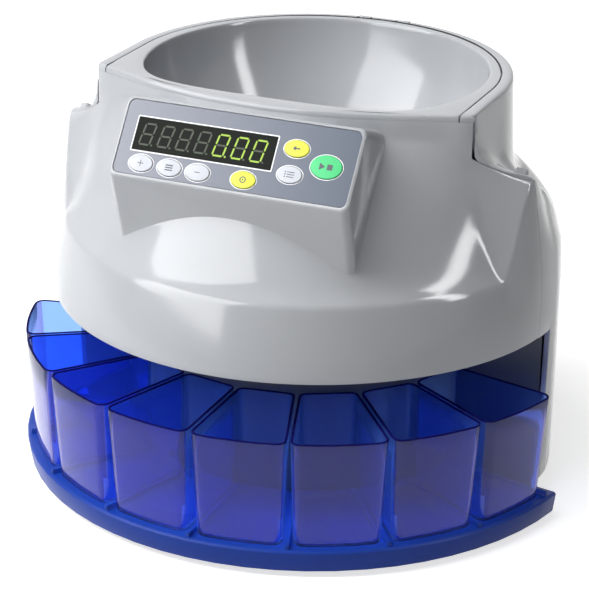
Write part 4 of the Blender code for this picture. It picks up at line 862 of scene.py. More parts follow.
def wall_normal(walls, i, j):
    """The outward direction of a wall of columns, whose last column lies on the middle plane."""
    before = walls[max(i - 1, 0)][j]
    after = walls[i + 1][j] if i + 1 < len(walls) else Vector((-before.x, before.y, before.z))
    normal = (after - before).cross(walls[i][j + 1] - walls[i][max(j - 1, 0)]).normalized()
    point = walls[i][j]
    return normal if normal.x * point.x + normal.y * point.y > 0 else -normal


def housing_sheet(thickness):
    """The housing's right half: up its outer face, over the rim, and down inside."""
    numbers = spread(0, 1, len(PARTING_HEIGHTS))
    curves = [smooth_curve(numbers, shares) for shares in (PARTING_HEIGHTS, REAR_WIDTHS, REAR_HEIGHTS)]
    rows = [[curve(number) for curve in curves] for number in spread(0, 1, HOUSING_ROWS)]
    places = spread(0, FRONT_PLACE, SIDE_COLUMNS) + spread(FRONT_PLACE, 1, REAR_COLUMNS)[1:]
    walls = [housing_wall(place, rows) for place in places]
    inner = SEAM_R + HOPPER_GAP
    ledge = SEAM_R - LEDGE_WIDTH
    roof = LEDGE_Z - thickness
    inside = min(sum(point.z < roof - SEAT for point in column) for column in walls)
    columns = []
    for i, (place, wall_points) in enumerate(zip(places, walls)):
        *side, top = wall_points
        rim = lip_point(place, inner, FLANGE_TOP)
        column = side + round_corner(side[-1], top, rim, COLLAR_ROUND, QUARTER_POINTS)
        column += round_corner(lip_point(place, inner + SEAM_ROUND * 2, FLANGE_TOP), rim,
                               lip_point(place, inner, LEDGE_Z), SEAM_ROUND, SEAM_POINTS)
        column += [lip_point(place, inner, LEDGE_Z), lip_point(place, ledge, LEDGE_Z),
                   lip_point(place, ledge, roof), lip_point(place, inner, roof)]
        column += [wall_points[j] - wall_normal(walls, i, j) * thickness for j in reversed(range(inside))]
        column.append(column[0])
        if place == 1:
            for point in column:
                point.x = 0
        columns.append([point + AXIS for point in column])
    return woven(columns)


def front_edge(point, rim_round):
    """How far the rim's outer edge is rounded: well over in front, and only eased along the seam."""
    return blend(SEAM_ROUND, rim_round, ease((-point.y / NECK_FRONT - FRONT_EDGE_START) / FRONT_EDGE_SPAN))


def collar_end(side, rim_round):
    """The collar's front end, filled out to the neck's face, flush with the bowl's flange."""
    inner = SEAM_R + HOPPER_GAP + HAIR
    outer = NECK_SIDE - HAIR
    high = FLANGE_TOP - HAIR
    back = LEDGE_WIDTH - parting_depth(NECK_SIDE)
    outline = [Vector((inner, back))]
    for x in spread(inner, outer, RIM_POINTS):
        outline.append(neck_point(x / NECK_SIDE) + Vector((0, HOPPER_INSET)))
    outline.append(Vector((outer, back)))
    rings = [[Vector((*point, LEDGE_Z + LEDGE_REST)) for point in outline]]
    for t in spread(0, math.pi / 2, QUARTER_POINTS):
        ring = []
        for point in outline:
            edge = front_edge(point, rim_round)
            in_by = edge * (1 - math.cos(t))
            eased = Vector((min(point.x, outer - in_by), point.y + in_by if point.y < back else back))
            ring.append(Vector((*eased, high - edge * (1 - math.sin(t)))))
        rings.append(ring)
    bm = ring_solid(rings)
    place = Matrix.Translation(AXIS) @ Matrix.Diagonal((side, 1, 1, 1))
    bmesh.ops.transform(bm, matrix=place, verts=bm.verts[:])
    bmesh.ops.recalc_face_normals(bm, faces=bm.faces[:])
    return mesh_object(f"collar_end_{side}", bm)


def make_rear_housing(sizes):
    bm = housing_sheet(sizes.wall)
    bmesh.ops.remove_doubles(bm, verts=bm.verts[:], dist=MERGE)
    both_halves(bm, AXIS + Vector((0, 0, CREASE_Z)))
    fill_holes(bm)
    housing = mesh_object("rear_housing_skin", bm)
    tools = [parting_tool(side, False) for side in (-1, 1)]
    ledge_end = parting_depth(NECK_SIDE) - LEDGE_WIDTH
    tools.append(box_tool("ledge_end", (2 * (SEAM_R + HOPPER_GAP), TOOL_REACH, TOOL_REACH),
                          (0, AXIS_Y - ledge_end - TOOL_REACH / 2, LEDGE_Z)))
    collar_front = sizes.skin - parting_depth(NECK_SIDE) + SEAM
    collar_low = WING_TOP_Z - LEDGE_WIDTH
    tools.append(box_tool("collar_front", (2 * (NECK_SIDE + LIP_REACH), TOOL_REACH, TOOL_REACH),
                          (0, AXIS_Y + collar_front - TOOL_REACH / 2, collar_low + TOOL_REACH / 2)))
    tools.append(box_tool("column_front", (TOOL_REACH, TOOL_REACH, TOOL_REACH),
                          (0, AXIS_Y - COLUMN_FRONT - TOOL_REACH / 2, SKIRT_Z - SEAM - TOOL_REACH / 2)))
    for name, (width, height, angle) in SOCKETS.items():
        turn = math.radians(angle)
        tools.append(box_tool(f"{name}_hole", (width, SOCKET_REACH, height),
                              AXIS + polar(HOUSING_R, turn, SOCKET_Z), turn))
    for side in (-1, 1):
        place = (side * EAR_X, AXIS_Y + EAR_NOTCH_Y, EAR_NOTCH_Z)
        tools.append(box_tool(f"ear_notch_{side}", EAR_NOTCH, place))
    for tool in tools:
        cut(housing, tool)
    soften(housing, sizes.edge, 2, SHELL_ANGLE)
    for side in (-1, 1):
        tools.append(collar_end(side, sizes.rim_round))
        cut(housing, tools[-1], "UNION")
    settle(housing, tools)
    place_piece(housing, FIXED_BODY, "casing", ["rear_housing"], "glossy_grey_abs")


def bowl_radius(angle):
    """A circle whose front is drawn in to a flatter line with rounded corners."""
    flat = max(math.cos(angle), 0) / BOWL_FRONT
    return (BOWL_R**-BOWL_CORNER_POWER + flat**BOWL_CORNER_POWER) ** (-1 / BOWL_CORNER_POWER)


def rim_outline():
    """The hopper's outer edge in plan: flush with the neck in front, straight sides and a round back."""
    right = []
    for x in spread(0, SEAM_R, NECK_POINTS):
        right.append(neck_point(x / NECK_SIDE) + Vector((0, HOPPER_INSET)))
    corner_y = right[-1].y
    right += [Vector((SEAM_R, corner_y * share)) for share in SIDE_SHARES]
    right += [polar(SEAM_R, angle).xy for angle in spread(math.pi / 2, math.pi, BACK_POINTS)]
    left = [Vector((-point.x, point.y)) for point in reversed(right[1:-1])]
    return right + left


def make_hopper(sizes):
    outline = rim_outline()
    angles = [math.atan2(point.x, -(point.y - BOWL_CENTRE_Y)) for point in outline]
    depth = FLANGE_TOP - THROAT_Z
    underside = LEDGE_Z + LEDGE_REST
    columns = []
    for point, angle in zip(outline, angles):
        mouth = bowl_radius(angle)
        edge = front_edge(point, sizes.rim_round)

        def bowl_at(depth_share, extra=0.0):
            radius = blend(THROAT_R, mouth, BOWL_CURVE(depth_share)) + extra
            return polar(radius, angle, FLANGE_TOP - depth * depth_share) + Vector((0, BOWL_CENTRE_Y, 0))

        outer = Vector((*point, FLANGE_TOP))
        low = Vector((*point, underside))
        inward = bowl_at(0, RIM_INNER)
        inward.z = FLANGE_TOP
        column = [low, Vector((*point, FLANGE_TOP - edge))]
        column += round_corner(column[-1], outer, inward, edge, RIM_POINTS)[1:]
        column.append(bowl_at(0, RIM_MIDDLE))
        column[-1].z = FLANGE_TOP
        column += round_corner(inward, bowl_at(0), bowl_at(BOWL_DEPTHS[1]), MOUTH_ROUND, MOUTH_POINTS)
        column += [bowl_at(share) for share in spread(BOWL_FIRST_DEPTH, 1, BOWL_POINTS)]
        column += [bowl_at(share, BOWL_WALL) for share in spread(1, BOWL_LAST_DEPTH, BOWL_UNDERSIDE_POINTS)]
        last = bowl_at(0, BOWL_WALL)
        last.z = underside
        column.append(last)
        column.append(low)
        columns.append([item + AXIS for item in column])
    columns.append(columns[0])
    bm = woven(columns, closed=True)
    hopper = mesh_object("hopper_skin", bm, HOPPER_ANGLE)
    place_piece(hopper, "hopper_body", "casing", ["hopper"], "glossy_grey_abs")


def make_hinge():
    """The bowl's two hinge ears and the pin through them."""
    for side, word in ((-1, "left"), (1, "right")):
        bm = bmesh.new()
        place = Matrix.Translation((side * EAR_X, AXIS_Y + HINGE_Y, HINGE_Z))
        bmesh.ops.create_cone(bm, cap_ends=True, segments=EAR_SEGMENTS, radius1=EAR_R, radius2=EAR_R,
                              depth=EAR_ARM[0], matrix=place @ Matrix.Rotation(math.pi / 2, 4, "Y"))
        ear = mesh_object(f"hopper_ear_{word}", bm)
        arm = box_tool("ear_arm", EAR_ARM, (side * EAR_X, AXIS_Y + EAR_ARM_Y, EAR_ARM_Z))
        cut(ear, arm, "UNION")
        soften(ear, EAR_EDGE)
        settle(ear, [arm])
        place_piece(ear, "hopper_body", "casing", [], "glossy_grey_abs")
    softened_node("hinge_pin", "ground_steel", "steel", PIN_EDGE)


class CoinSorterColours(bpy.types.PropertyGroup):
    """The machine's colours, in sRGB hex"""

    casing: bpy.props.StringProperty(name="Casing", description="Casing plastic", default="b2b5b9")
    casing_shade: bpy.props.StringProperty(name="Casing shade", description="Its darker drift",
                                           default="aaadb2")
    tray: bpy.props.StringProperty(name="Tray", description="Tray plastic", default="1c3f9a")
    tray_shade: bpy.props.StringProperty(name="Tray shade", description="Its darker drift", default="183890")
    cup: bpy.props.StringProperty(name="Cup", description="Tint of the clear cups", default="8cb4ff")
    cup_shade: bpy.props.StringProperty(name="Cup shade", description="Its deeper drift", default="82aafa")
    # The cup haze is a painted sheen: a violet tint of the outer wall that stands in for the white floor's
    # reflection over the blue
    cup_haze: bpy.props.StringProperty(name="Cup haze", description="Haze of the outer wall", default="7470b2")
    cup_haze_shade: bpy.props.StringProperty(name="Haze shade", description="Its deeper drift",
                                             default="6c68aa")
    cup_rim: bpy.props.StringProperty(name="Cup rim", description="Edge tint of the cups", default="0f0c4a")
    cup_rim_shade: bpy.props.StringProperty(name="Rim shade", description="Its deeper drift", default="141054")
    drum: bpy.props.StringProperty(name="Drum", description="Inner drum", default="2f3540")
    drum_shade: bpy.props.StringProperty(name="Drum shade", description="Its lighter drift", default="3a4150")
    # The film's two colours are painted light: its left lighter with a painted reflection, its right darker
    # with painted shade
    overlay: bpy.props.StringProperty(name="Panel film", description="Left of the film", default="868a96")
    overlay_shade: bpy.props.StringProperty(name="Film shade", description="Right of the film",
                                            default="4e5869")
    key_yellow: bpy.props.StringProperty(name="Yellow key", description="Yellow silicone", default="e9ec3c")
    key_green: bpy.props.StringProperty(name="Green key", description="The start key", default="3fc878")
    digit: bpy.props.StringProperty(name="Lit digit", description="Glow of the digits", default="a8cc28")
    ghost: bpy.props.StringProperty(name="Unlit digit", description="Digits that are off", default="2c3726")


class CoinSorterSizes(bpy.types.PropertyGroup):
    """The dressed pieces' own sizes"""

    wall: bpy.props.FloatProperty(name="Casing wall", description="Thickness of the moulded shells",
                                  default=0.003, unit="LENGTH")
    skin: bpy.props.FloatProperty(name="Skin", description="Thickness of the front cover's skin", default=0.002,
                                  unit="LENGTH")
    box_round: bpy.props.FloatProperty(name="Panel rim", description="Rounding of the panel box's rim",
                                       default=0.0016, unit="LENGTH")
    edge: bpy.props.FloatProperty(name="Edge", description="Rounding of the casing's edges", default=0.0003,
                                  unit="LENGTH")
    crease_round: bpy.props.FloatProperty(name="Crease", description="Reach of the rounding over the skirt",
                                          default=0.004, unit="LENGTH")
    rim_round: bpy.props.FloatProperty(name="Rim", description="Rounding of the bowl's front edge",
                                       default=0.0035, unit="LENGTH")
    cup_wall: bpy.props.FloatProperty(name="Cup wall", description="Thickness of the cups", default=0.0015,
                                      unit="LENGTH")
    key: bpy.props.FloatProperty(name="Key", description="Width of a key", default=0.0148, unit="LENGTH")
    start_key: bpy.props.FloatProperty(name="Start key", description="Width of the start key", default=0.0186,
                                       unit="LENGTH")


def make_panel():
    """The film over the panel, with its display window's frame and a pale ring round each key."""
    holes = [oval(key_radii(name), centre, grow=SEAT) for name, centre in KEY_PLACES.items()]
    outline = round_box(-OVERLAY_HALF_WIDTH, OVERLAY_HALF_WIDTH, OVERLAY_LOW, OVERLAY_HIGH, OVERLAY_CORNER)
    film = mesh_object("panel_film", slab(outline, OVERLAY_TOP - OVERLAY_THICK, OVERLAY_TOP))
    tools = [mesh_object(f"key_gap_{i}", slab(hole, -CUT_REACH, CUT_REACH)) for i, hole in enumerate(holes)]
    window = window_outline(SEAT, WINDOW_CORNER, 2)
    tools.append(mesh_object("window_gap", slab(window, -CUT_REACH, CUT_REACH)))
    for tool in tools:
        cut(film, tool)
    soften(film, FILM_EDGE, 1)
    settle(film, tools)
    place_piece(film, FIXED_BODY, "overlay", ["panel_overlay"], "slate_membrane")
    low = OVERLAY_TOP + INK_LOW
    high = OVERLAY_TOP + RING_INK_HIGH
    rings = bmesh.new()
    for name, centre in KEY_PLACES.items():
        radii = key_radii(name)
        inner, outer = [oval(radii, centre, grow=SEAT + grow) for grow in (RING_GAP, RING_WIDTH)]
        add_band(rings, inner, outer, low, high)
    frame_in = window_outline(SEAT, WINDOW_CORNER, 4)
    add_band(rings, frame_in, window_outline(FRAME_WIDTH, FRAME_CORNER, 4), low, high)
    printed = mesh_object("panel_print", rings)
    place_piece(printed, FIXED_BODY, "overlay", [], "white_print")


def window_outline(grow, corner, steps):
    sides = (-WINDOW_LEFT - grow, WINDOW_RIGHT + grow, WINDOW_LOW - grow, WINDOW_HIGH + grow)
    return round_box(*sides, corner, steps)


def add_band(bm, inner, outer, low, high):
    """A thin flat ring between two outlines of like count."""
    loops = []
    for outline, height in ((inner, low), (outer, low), (outer, high), (inner, high)):
        loops.append([bm.verts.new(PANEL_PLACE @ Vector((x, y, height))) for x, y in outline])
    count = len(inner)
    faces = []
    for k in range(4):
        first = loops[k]
        second = loops[(k + 1) % 4]
        for i in range(count):
            j = (i + 1) % count
            faces.append(bm.faces.new((first[i], first[j], second[j], second[i])))
    bmesh.ops.recalc_face_normals(bm, faces=faces)


SEGMENTS = {
    "top": ((0, 2), (1, 2)), "upper_left": ((0, 1), (0, 2)), "upper_right": ((1, 1), (1, 2)),
    "middle": ((0, 1), (1, 1)), "lower_left": ((0, 0), (0, 1)), "lower_right": ((1, 0), (1, 1)),
    "bottom": ((0, 0), (1, 0)),
}
DIGIT_WIDTH = 0.0066
DIGIT_HALF_HEIGHT = 0.0062
DIGIT_PITCH = 0.0115
DIGIT_LEAN = 0.16
SEGMENT_WIDTH = 0.001
SEGMENT_GAP = 0.0003
DIGIT_COUNT = 7
FIRST_LIT_DIGIT = 4
DIGIT_START = 0.0033
POINT_R = 0.0006
POINT_STEP = 0.0015
PANE_PROUD = 0.0001
PANE_CORNER = 0.0003


def segment_outline(ends, origin, width):
    """A display segment with pointed ends, between two corners of a leaning digit."""
    first, last = [Vector((origin[0] + x * DIGIT_WIDTH + DIGIT_LEAN * y * DIGIT_HALF_HEIGHT,
                           origin[1] + y * DIGIT_HALF_HEIGHT)) for x, y in ends]
    along = (last - first).normalized()
    across = Vector((-along.y, along.x)) * (width / 2)
    first += along * SEGMENT_GAP
    last -= along * SEGMENT_GAP
    point = along * (width / 2)
    return [first, first + point + across, last - point + across, last, last - point - across,
            first + point - across]


def make_display():
    """The smoked window and the digits behind its face: four that are off and a glowing 0.00."""
    top = OVERLAY_TOP + PANE_PROUD
    pane = mesh_object("display_window_skin", slab(window_outline(0, PANE_CORNER, 2), top - OVERLAY_THICK, top))
    soften(pane, FILM_EDGE, 1)
    settle(pane)
    place_piece(pane, FIXED_BODY, "window", ["display_window"], "smoked_acrylic")
    lit = bmesh.new()
    off = bmesh.new()
    low = top + INK_LOW
    high = top + INK_HIGH
    for number in range(DIGIT_COUNT):
        origin = (-WINDOW_LEFT + DIGIT_START + number * DIGIT_PITCH,
                  (WINDOW_LOW + WINDOW_HIGH) / 2 - DIGIT_HALF_HEIGHT)
        for name, ends in SEGMENTS.items():
            glows = number >= FIRST_LIT_DIGIT and name != "middle"
            slab(segment_outline(ends, origin, SEGMENT_WIDTH), low, high, bm=lit if glows else off)
        centre = (origin[0] + DIGIT_WIDTH + POINT_STEP, origin[1])
        dot = oval((POINT_R, POINT_R), centre, DOT_POINTS)
        slab(dot, low, high, bm=lit if number == FIRST_LIT_DIGIT else off)
    for name, mesh, finish_name in (("digits_lit", lit, "lit_segment"), ("digits_off", off, "unlit_segment")):
        place_piece(mesh_object(name, mesh), FIXED_BODY, "display", [], finish_name)


def bar(bm, x, y, width, height, low, high):
    slab([(x - width / 2, y - height / 2), (x + width / 2, y - height / 2), (x + width / 2, y + height / 2),
          (x - width / 2, y + height / 2)], low, high, bm=bm)


# Plain signs on the keys, from each key's centre: bars as place and size, arrows as corners, and a dot in a
# ring as radii and numbers of points
LINE = 0.00042
ROWS = (-0.0014, 0, 0.0014)
BULLETS = [(-0.0026, row, 0.0007, 0.0007) for row in ROWS]
SIGN_BARS = {
    "key_plus": ((0, 0, 0.0036, LINE), (0, 0, LINE, 0.0036)),
    "key_minus": ((0, 0, 0.0034, LINE),),
    "key_stack": [(0, row, 0.0046, 0.0007) for row in ROWS],
    "key_list": [(0.0007, row, 0.0044, 0.00045) for row in ROWS] + BULLETS,
    "key_clear": ((0.0009, 0, 0.0026, 0.0009),),
    "key_start": ((0.0022, 0, 0.0032, 0.0032),),
}
SIGN_ARROWS = {
    "key_clear": ((-0.0022, 0), (-0.0004, 0.0016), (-0.0004, -0.0016)),
    "key_start": ((-0.0040, 0.0021), (-0.0040, -0.0021), (-0.0006, 0)),
}
SIGN_RINGS = {"key_set": ((0.0005, DOT_POINTS), (0.0013, RING_POINTS), (0.0019, RING_POINTS))}


def key_sign(bm, name, centre, low, high):
    x, y = centre
    for across, up, width, height in SIGN_BARS.get(name, ()):
        bar(bm, x + across, y + up, width, height, low, high)
    if name in SIGN_ARROWS:
        slab([(x + across, y + up) for across, up in SIGN_ARROWS[name]], low, high, bm=bm)
    if name in SIGN_RINGS:
        dot, inner, outer = [oval((radius, radius), centre, steps) for radius, steps in SIGN_RINGS[name]]
        add_band(bm, inner, outer, low, high)
        slab(dot, low, high, bm=bm)


KEY_LOOKS = {"key_set": ("key_yellow", "yellow_silicone"), "key_clear": ("key_yellow", "yellow_silicone"),
             "key_start": ("key_green", "green_silicone")}


def make_keys():
    for name, centre in KEY_PLACES.items():
        foot = min((PANEL_PLACE.inverted() @ vert.co).z for vert in NODES[name].data.vertices)
        top = OVERLAY_TOP + KEY_PROUD
        key = mesh_object(f"{name}_cap", slab(oval(key_radii(name), centre), foot, top))
        soften(key, KEY_EDGE, 4, KEY_BEVEL_ANGLE)
        settle(key, smooth_degrees=KEY_ANGLE)
        slot, finish_name = KEY_LOOKS.get(name, ("key_white", "white_silicone"))
        place_piece(key, f"{name}_body", slot, [name], finish_name)
        sign = bmesh.new()
        key_sign(sign, name, centre, top + INK_LOW, top + INK_HIGH)
        place_piece(mesh_object(f"{name}_sign", sign), f"{name}_body", slot, [], "dark_print")


def cup_outline(outer, inner, gap, corner, inner_corner):
    """A wedge between two lines beside the cup's gaps, with an arc for its outer wall."""
    half = CUP_PITCH / 2
    corners = []
    for side in (-1, 1):
        along = Vector((side * math.sin(half), -math.cos(half)))
        inward = Vector((-side * math.cos(half), -math.sin(half)))
        corners.append((along * math.sqrt(outer * outer - gap * gap) + inward * gap,
                        along * ((inner - gap * math.sin(half)) / math.cos(half)) + inward * gap))
    reach = half - math.asin(gap / outer)
    arc = [polar(outer, reach * share).xy for share in spread(-CUP_ARC_SHARE, CUP_ARC_SHARE, CUP_ARC_POINTS)]
    points = [corners[0][1], corners[0][0], *arc, corners[1][0], corners[1][1]]
    radii = [inner_corner, corner, *[0] * len(arc), corner, inner_corner]
    rounded = []
    for i, (here, radius) in enumerate(zip(points, radii)):
        if not radius:
            rounded.append(here)
            continue
        to_last = (points[i - 1] - here).normalized()
        to_next = (points[(i + 1) % len(points)] - here).normalized()
        half_turn = to_last.angle(to_next) / 2
        middle = here + (to_last + to_next).normalized() * (radius / math.sin(half_turn))
        start = here + to_last * (radius / math.tan(half_turn)) - middle
        stop = here + to_next * (radius / math.tan(half_turn)) - middle
        sweep = start.angle(stop)
        if start.x * stop.y < start.y * stop.x:
            sweep = -sweep
        rounded += [middle + Matrix.Rotation(sweep * t, 2) @ start for t in spread(0, 1, CUP_CORNER_POINTS)]
    return rounded


def cup_ring(height_share, inset, height):
    outer = blend(CUP_FOOT_R, CUP_RIM_R, height_share) - inset
    inner = CUP_INNER_R + CUP_DRAFT * (1 - height_share) + inset
    gap = CUP_HALF_GAP + CUP_DRAFT * (1 - height_share) + inset
    corner = max(CUP_CORNER - inset, CUP_LEAST_CORNER)
    inner_corner = max(CUP_INNER_CORNER - inset, CUP_LEAST_CORNER)
    return [Vector((x, y, height)) for x, y in cup_outline(outer, inner, gap, corner, inner_corner)]


def make_cups(sizes):
    low, high = [corner.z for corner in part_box("coin_cup_4")]
    thick = sizes.cup_wall
    floor = low + thick
    floor_share = thick / (high - low)
    shoulder = high - CUP_RIM_ROUND
    foot = CUP_FOOT_ROUND
    rings = [cup_ring(0, foot * (1 - math.sin(turn)), low + foot * (1 - math.cos(turn)))
             for turn in spread(0, math.pi / 2, CUP_FOOT_POINTS)]
    rings += [cup_ring(share, 0, blend(low + foot, shoulder, share)) for share in CUP_HEIGHTS]
    rings += [cup_ring(1, thick / 2 * (1 - math.cos(turn)), shoulder + CUP_RIM_ROUND * math.sin(turn))
              for turn in spread(0, math.pi, CUP_RIM_POINTS)]
    rings += [cup_ring(share, thick, blend(floor + foot, shoulder, share))
              for share in (*CUP_HEIGHTS[2::-1], floor_share)]
    rings += [cup_ring(floor_share, thick + foot * math.sin(turn), floor + foot * (1 - math.sin(turn)))
              for turn in spread(0, math.pi / 2, CUP_FLOOR_POINTS)]
    for number in range(1, CUP_COUNT + 1):
        angle = (number - (CUP_COUNT + 1) / 2) * CUP_PITCH
        bm = ring_solid(rings)
        for face in bm.faces:
            middle = face.calc_center_median()
            outward = face.normal.dot(polar(1, math.atan2(middle.x, -middle.y))) > CUP_OUTWARD
            if middle.z > high - CUP_RIM_BAND:
                face.material_index = 2
            # Faces of the outer wall take the painted sheen, a violet tint in place of the floor's reflection
            elif outward and math.hypot(middle.x, middle.y) > CUP_FOOT_R - CUP_SKIN_DEPTH:
                face.material_index = 1
        place = Matrix.Translation(AXIS) @ Matrix.Rotation(angle, 4, "Z")
        bmesh.ops.transform(bm, matrix=place, verts=bm.verts[:])
        cup = mesh_object(f"cup_{number}_skin", bm, CUP_ANGLE)
        place_piece(cup, f"cup_{number}", "cup", [f"coin_cup_{number}"], "clear_blue_polystyrene",
                    "blue_polystyrene_painted_sheen", "edge_lit_polystyrene")


# Node, finish, slot, the rounding of its edges and, where it isn't two, the number of its steps
FEET = [(f"foot_{number}", "black_rubber", "rubber", 0.0008, 3) for number in range(1, 5)]
TRAY_PIECES = (("base_tray", "satin_blue_abs", "tray", 0.0003),)
CORE_PIECES = (
    ("core_drum", "matt_slate_abs", "dark_plastic", 0.0004),
    ("bottom_plate", "painted_steel", "dark_steel", 0.0004),
    *FEET,
)
INNER_PIECES = (
    ("sorting_deck", "brushed_stainless", "deck", 0.0002),
    ("guide_rail", "brushed_stainless", "steel", 0.0003),
    ("coin_sensor", "black_nylon", "dark_plastic", 0.0006),
    ("feed_disc", "black_nylon", "dark_plastic", 0.0005),
    ("spindle", "ground_steel", "steel", 0.0004),
    ("disc_pulley", "black_nylon", "dark_plastic", 0.0003),
    ("motor_pulley", "ground_steel", "steel", 0.0003),
    ("bearing_upper", "ground_steel", "steel", 0.0003),
    ("bearing_lower", "ground_steel", "steel", 0.0003),
    ("drive_belt", "black_rubber", "rubber", 0.0002),
    ("drive_motor", "ground_steel", "steel", 0.0004),
    ("motor_bracket", "brushed_stainless", "steel", 0.0003),
    ("display_module", "black_nylon", "display", 0.0004),
    ("key_board", "green_circuit_board", "board", 0.0002),
    ("main_board", "green_circuit_board", "board", 0.0002),
    ("power_supply", "brushed_stainless", "steel", 0.0003),
    ("power_inlet", "black_nylon", "dark_plastic", 0.0003),
    ("switch_frame", "black_nylon", "dark_plastic", 0.0003),
    ("switch_rocker", "black_nylon", "dark_plastic", 0.0003),
    ("data_port", "ground_steel", "steel", 0.0002),
)


def make_plain_pieces(pieces):
    for piece in pieces:
        softened_node(*piece)


# Stage


def add_light(name, azimuth, elevation, size, power, shows_as):
    """A softbox aimed at the machine, which gives soft light or is seen as a reflection, or both."""
    aim = AXIS + Vector((0, 0, LIGHT_AIM_HEIGHT))
    turn = math.radians(elevation)
    out = polar(math.cos(turn), math.radians(azimuth), math.sin(turn)) * LIGHT_DISTANCE
    data = bpy.data.lights.new(name, "AREA")
    data.shape = "RECTANGLE"
    data.size, data.size_y = size
    data.energy = power
    obj = bpy.data.objects.new(name, data)
    obj.location = aim + out
    obj.rotation_euler = (-out).to_track_quat("-Z", "Y").to_euler()
    obj.visible_diffuse = "light" in shows_as
    obj.visible_glossy = "reflection" in shows_as
    bpy.context.scene.collection.objects.link(obj)


def ray_seen(tree):
    """One for the rays that show the background to the camera, in gloss or through glass."""
    path = add_node(tree, "LightPath")
    direct = add_node(tree, "Math", operation="MAXIMUM",
                      links={0: path.outputs["Is Camera Ray"], 1: path.outputs["Is Transmission Ray"]})
    return add_node(tree, "Math", operation="MAXIMUM",
                    links={0: direct.outputs[0], 1: path.outputs["Is Glossy Ray"]}).outputs[0]


def make_stage():
    scene = bpy.context.scene
    scene.view_settings.view_transform = "Standard"
    world = bpy.data.worlds.new("studio")
    scene.world = world
    world.use_nodes = True
    tree = world.node_tree
    tree.nodes.clear()
    level = add_node(tree, "MapRange", {"To Min": AMBIENT, "To Max": 1.0}, {"Value": ray_seen(tree)})
    background = add_node(tree, "Background", {"Color": (1, 1, 1, 1)}, {"Strength": level.outputs["Result"]})
    add_node(tree, "OutputWorld", links={"Surface": background.outputs[0]})
    bm = bmesh.new()
    bmesh.ops.create_grid(bm, x_segments=2, y_segments=2, size=FLOOR_HALF_WIDTH)
    floor = mesh_object("studio_floor", bm)
    made = bpy.data.materials.new("white_paper_floor")
    made.use_nodes = True
    tree = made.node_tree
    tree.nodes.clear()
    noise = add_node(tree, "TexNoise", {"Scale": PAPER_SCALE})
    bump = add_node(tree, "Bump", {"Distance": PAPER_GRAIN}, {"Height": noise.outputs["Fac"]})
    paper = add_node(tree, "BsdfDiffuse", {"Color": hex_colour(PAPER_SHADE)},
                     {"Normal": bump.outputs["Normal"]})
    amount = add_node(tree, "Math", {1: FLOOR_GLOW}, {0: ray_seen(tree)}, operation="MULTIPLY")
    glow = add_node(tree, "Emission", {"Color": (1, 1, 1, 1)}, {"Strength": amount.outputs[0]})
    both = add_node(tree, "AddShader", links={0: paper.outputs[0], 1: glow.outputs[0]})
    add_node(tree, "OutputMaterial", links={"Surface": both.outputs[0]})
    floor.data.materials.append(made)
    for lamp in LAMPS:
        add_light(*lamp)
    make_camera()


def make_camera():
    side = Vector((math.cos(CAMERA_AZIMUTH), math.sin(CAMERA_AZIMUTH), 0))
    back = Vector((math.sin(CAMERA_AZIMUTH) * math.cos(CAMERA_ELEVATION),
                   -math.cos(CAMERA_AZIMUTH) * math.cos(CAMERA_ELEVATION), math.sin(CAMERA_ELEVATION)))
    up = back.cross(side)
    aim = AXIS + side * CAMERA_AIM_SIDE + Vector((0, 0, CAMERA_AIM_HEIGHT))
    right = side * math.cos(CAMERA_ROLL) + up * math.sin(CAMERA_ROLL)
    tilted_up = up * math.cos(CAMERA_ROLL) - side * math.sin(CAMERA_ROLL)
    data = bpy.data.cameras.new("photo_camera")
    data.lens = CAMERA_LENS
    data.sensor_width = SENSOR_WIDTH
    data.sensor_fit = "AUTO"
    data.shift_y = CAMERA_SHIFT
    data.clip_end = CAMERA_REACH
    camera = bpy.data.objects.new("photo_camera", data)
    turn = Matrix((right, tilted_up, back)).transposed().to_4x4()
    camera.matrix_world = Matrix.Translation(aim + back * CAMERA_DISTANCE) @ turn
    bpy.context.scene.collection.objects.link(camera)
    bpy.context.scene.camera = camera


# Operators


class COINSORTER_OT_front_cover(bpy.types.Operator):
    """Builds the moulded front cover with its panel box"""

    bl_idname = "coin_sorter.front_cover"
    bl_label = "Front cover"

    def execute(self, context):
        make_front_cover(context.scene.coin_sorter_sizes)
        return {"FINISHED"}


class COINSORTER_OT_rear_housing(bpy.types.Operator):
    """Builds the rear housing and its collar"""

    bl_idname = "coin_sorter.rear_housing"
    bl_label = "Rear housing"

    def execute(self, context):
        make_rear_housing(context.scene.coin_sorter_sizes)
        return {"FINISHED"}


class COINSORTER_OT_hopper(bpy.types.Operator):
    """Builds the hopper bowl and its hinge"""

    bl_idname = "coin_sorter.hopper"
    bl_label = "Hopper"

    def execute(self, context):
        make_hopper(context.scene.coin_sorter_sizes)
        make_hinge()
        return {"FINISHED"}


class COINSORTER_OT_panel(bpy.types.Operator):
    """Builds the panel's film, its print and the display"""

    bl_idname = "coin_sorter.panel"
    bl_label = "Panel and display"

    def execute(self, context):
        make_panel()
        make_display()
        return {"FINISHED"}


class COINSORTER_OT_keys(bpy.types.Operator):
    """Builds the keys and their signs"""

    bl_idname = "coin_sorter.keys"
    bl_label = "Keys"

    def execute(self, context):
        make_keys()
        return {"FINISHED"}


class COINSORTER_OT_cups(bpy.types.Operator):
    """Builds the clear coin cups"""

    bl_idname = "coin_sorter.cups"
    bl_label = "Coin cups"

    def execute(self, context):
        make_cups(context.scene.coin_sorter_sizes)
        return {"FINISHED"}


class COINSORTER_OT_tray(bpy.types.Operator):
    """Builds the blue tray under the cups"""

    bl_idname = "coin_sorter.tray"
    bl_label = "Tray"

    def execute(self, context):
        make_plain_pieces(TRAY_PIECES)
        return {"FINISHED"}


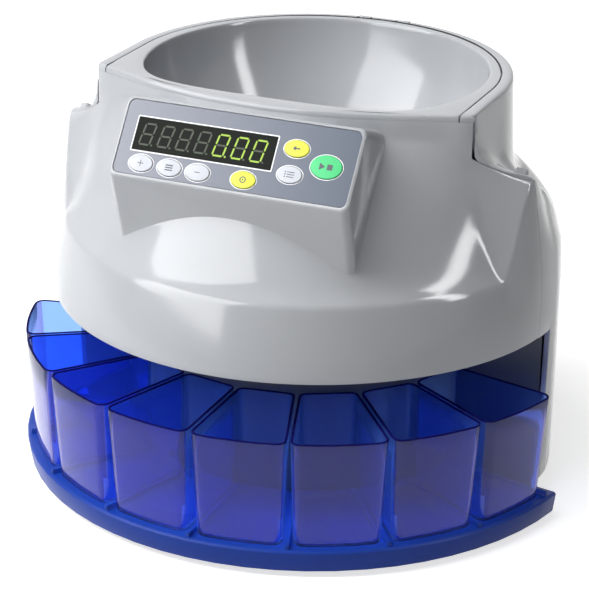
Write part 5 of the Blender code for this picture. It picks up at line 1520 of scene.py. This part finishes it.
class COINSORTER_OT_core(bpy.types.Operator):
    """Builds the drum, the bottom plate and the feet"""

    bl_idname = "coin_sorter.core"
    bl_label = "Drum, plate and feet"

    def execute(self, context):
        make_plain_pieces(CORE_PIECES)
        return {"FINISHED"}


class COINSORTER_OT_inner_pieces(bpy.types.Operator):
    """Dresses the sorting deck, the drive and the electrical pieces"""

    bl_idname = "coin_sorter.inner_pieces"
    bl_label = "Deck, drive and electrics"

    def execute(self, context):
        make_plain_pieces(INNER_PIECES)
        return {"FINISHED"}


class COINSORTER_OT_stage(bpy.types.Operator):
    """Sets up the floor, the lights and the camera"""

    bl_idname = "coin_sorter.stage"
    bl_label = "Stage"

    def execute(self, context):
        make_stage()
        return {"FINISHED"}


OPERATORS = (
    COINSORTER_OT_front_cover, COINSORTER_OT_rear_housing, COINSORTER_OT_hopper, COINSORTER_OT_panel,
    COINSORTER_OT_keys, COINSORTER_OT_cups, COINSORTER_OT_tray, COINSORTER_OT_core,
    COINSORTER_OT_inner_pieces, COINSORTER_OT_stage,
)


class COINSORTER_PT_sidebar(bpy.types.Panel):
    """Lists the machine's sizes, colours and pieces"""

    bl_label = "Coin sorting machine"
    bl_idname = "COINSORTER_PT_sidebar"
    bl_space_type = "VIEW_3D"
    bl_region_type = "UI"
    bl_category = "Coin sorter"

    def draw(self, context):
        for group in (context.scene.coin_sorter_sizes, context.scene.coin_sorter_colours):
            for name in group.bl_rna.properties.keys():
                if name not in ("rna_type", "name"):
                    self.layout.prop(group, name)
        for operator in OPERATORS:
            self.layout.operator(operator.bl_idname)


CLASSES = (CoinSorterSizes, CoinSorterColours, *OPERATORS, COINSORTER_PT_sidebar)


def register():
    for item in CLASSES:
        bpy.utils.register_class(item)
    bpy.types.Scene.coin_sorter_sizes = bpy.props.PointerProperty(type=CoinSorterSizes)
    bpy.types.Scene.coin_sorter_colours = bpy.props.PointerProperty(type=CoinSorterColours)


def unregister():
    del bpy.types.Scene.coin_sorter_colours
    del bpy.types.Scene.coin_sorter_sizes
    for item in reversed(CLASSES):
        bpy.utils.unregister_class(item)


def main():
    register()
    for operator in OPERATORS:
        group, name = operator.bl_idname.split(".")
        getattr(getattr(bpy.ops, group), name)()


if __name__ == "__main__":
    main()
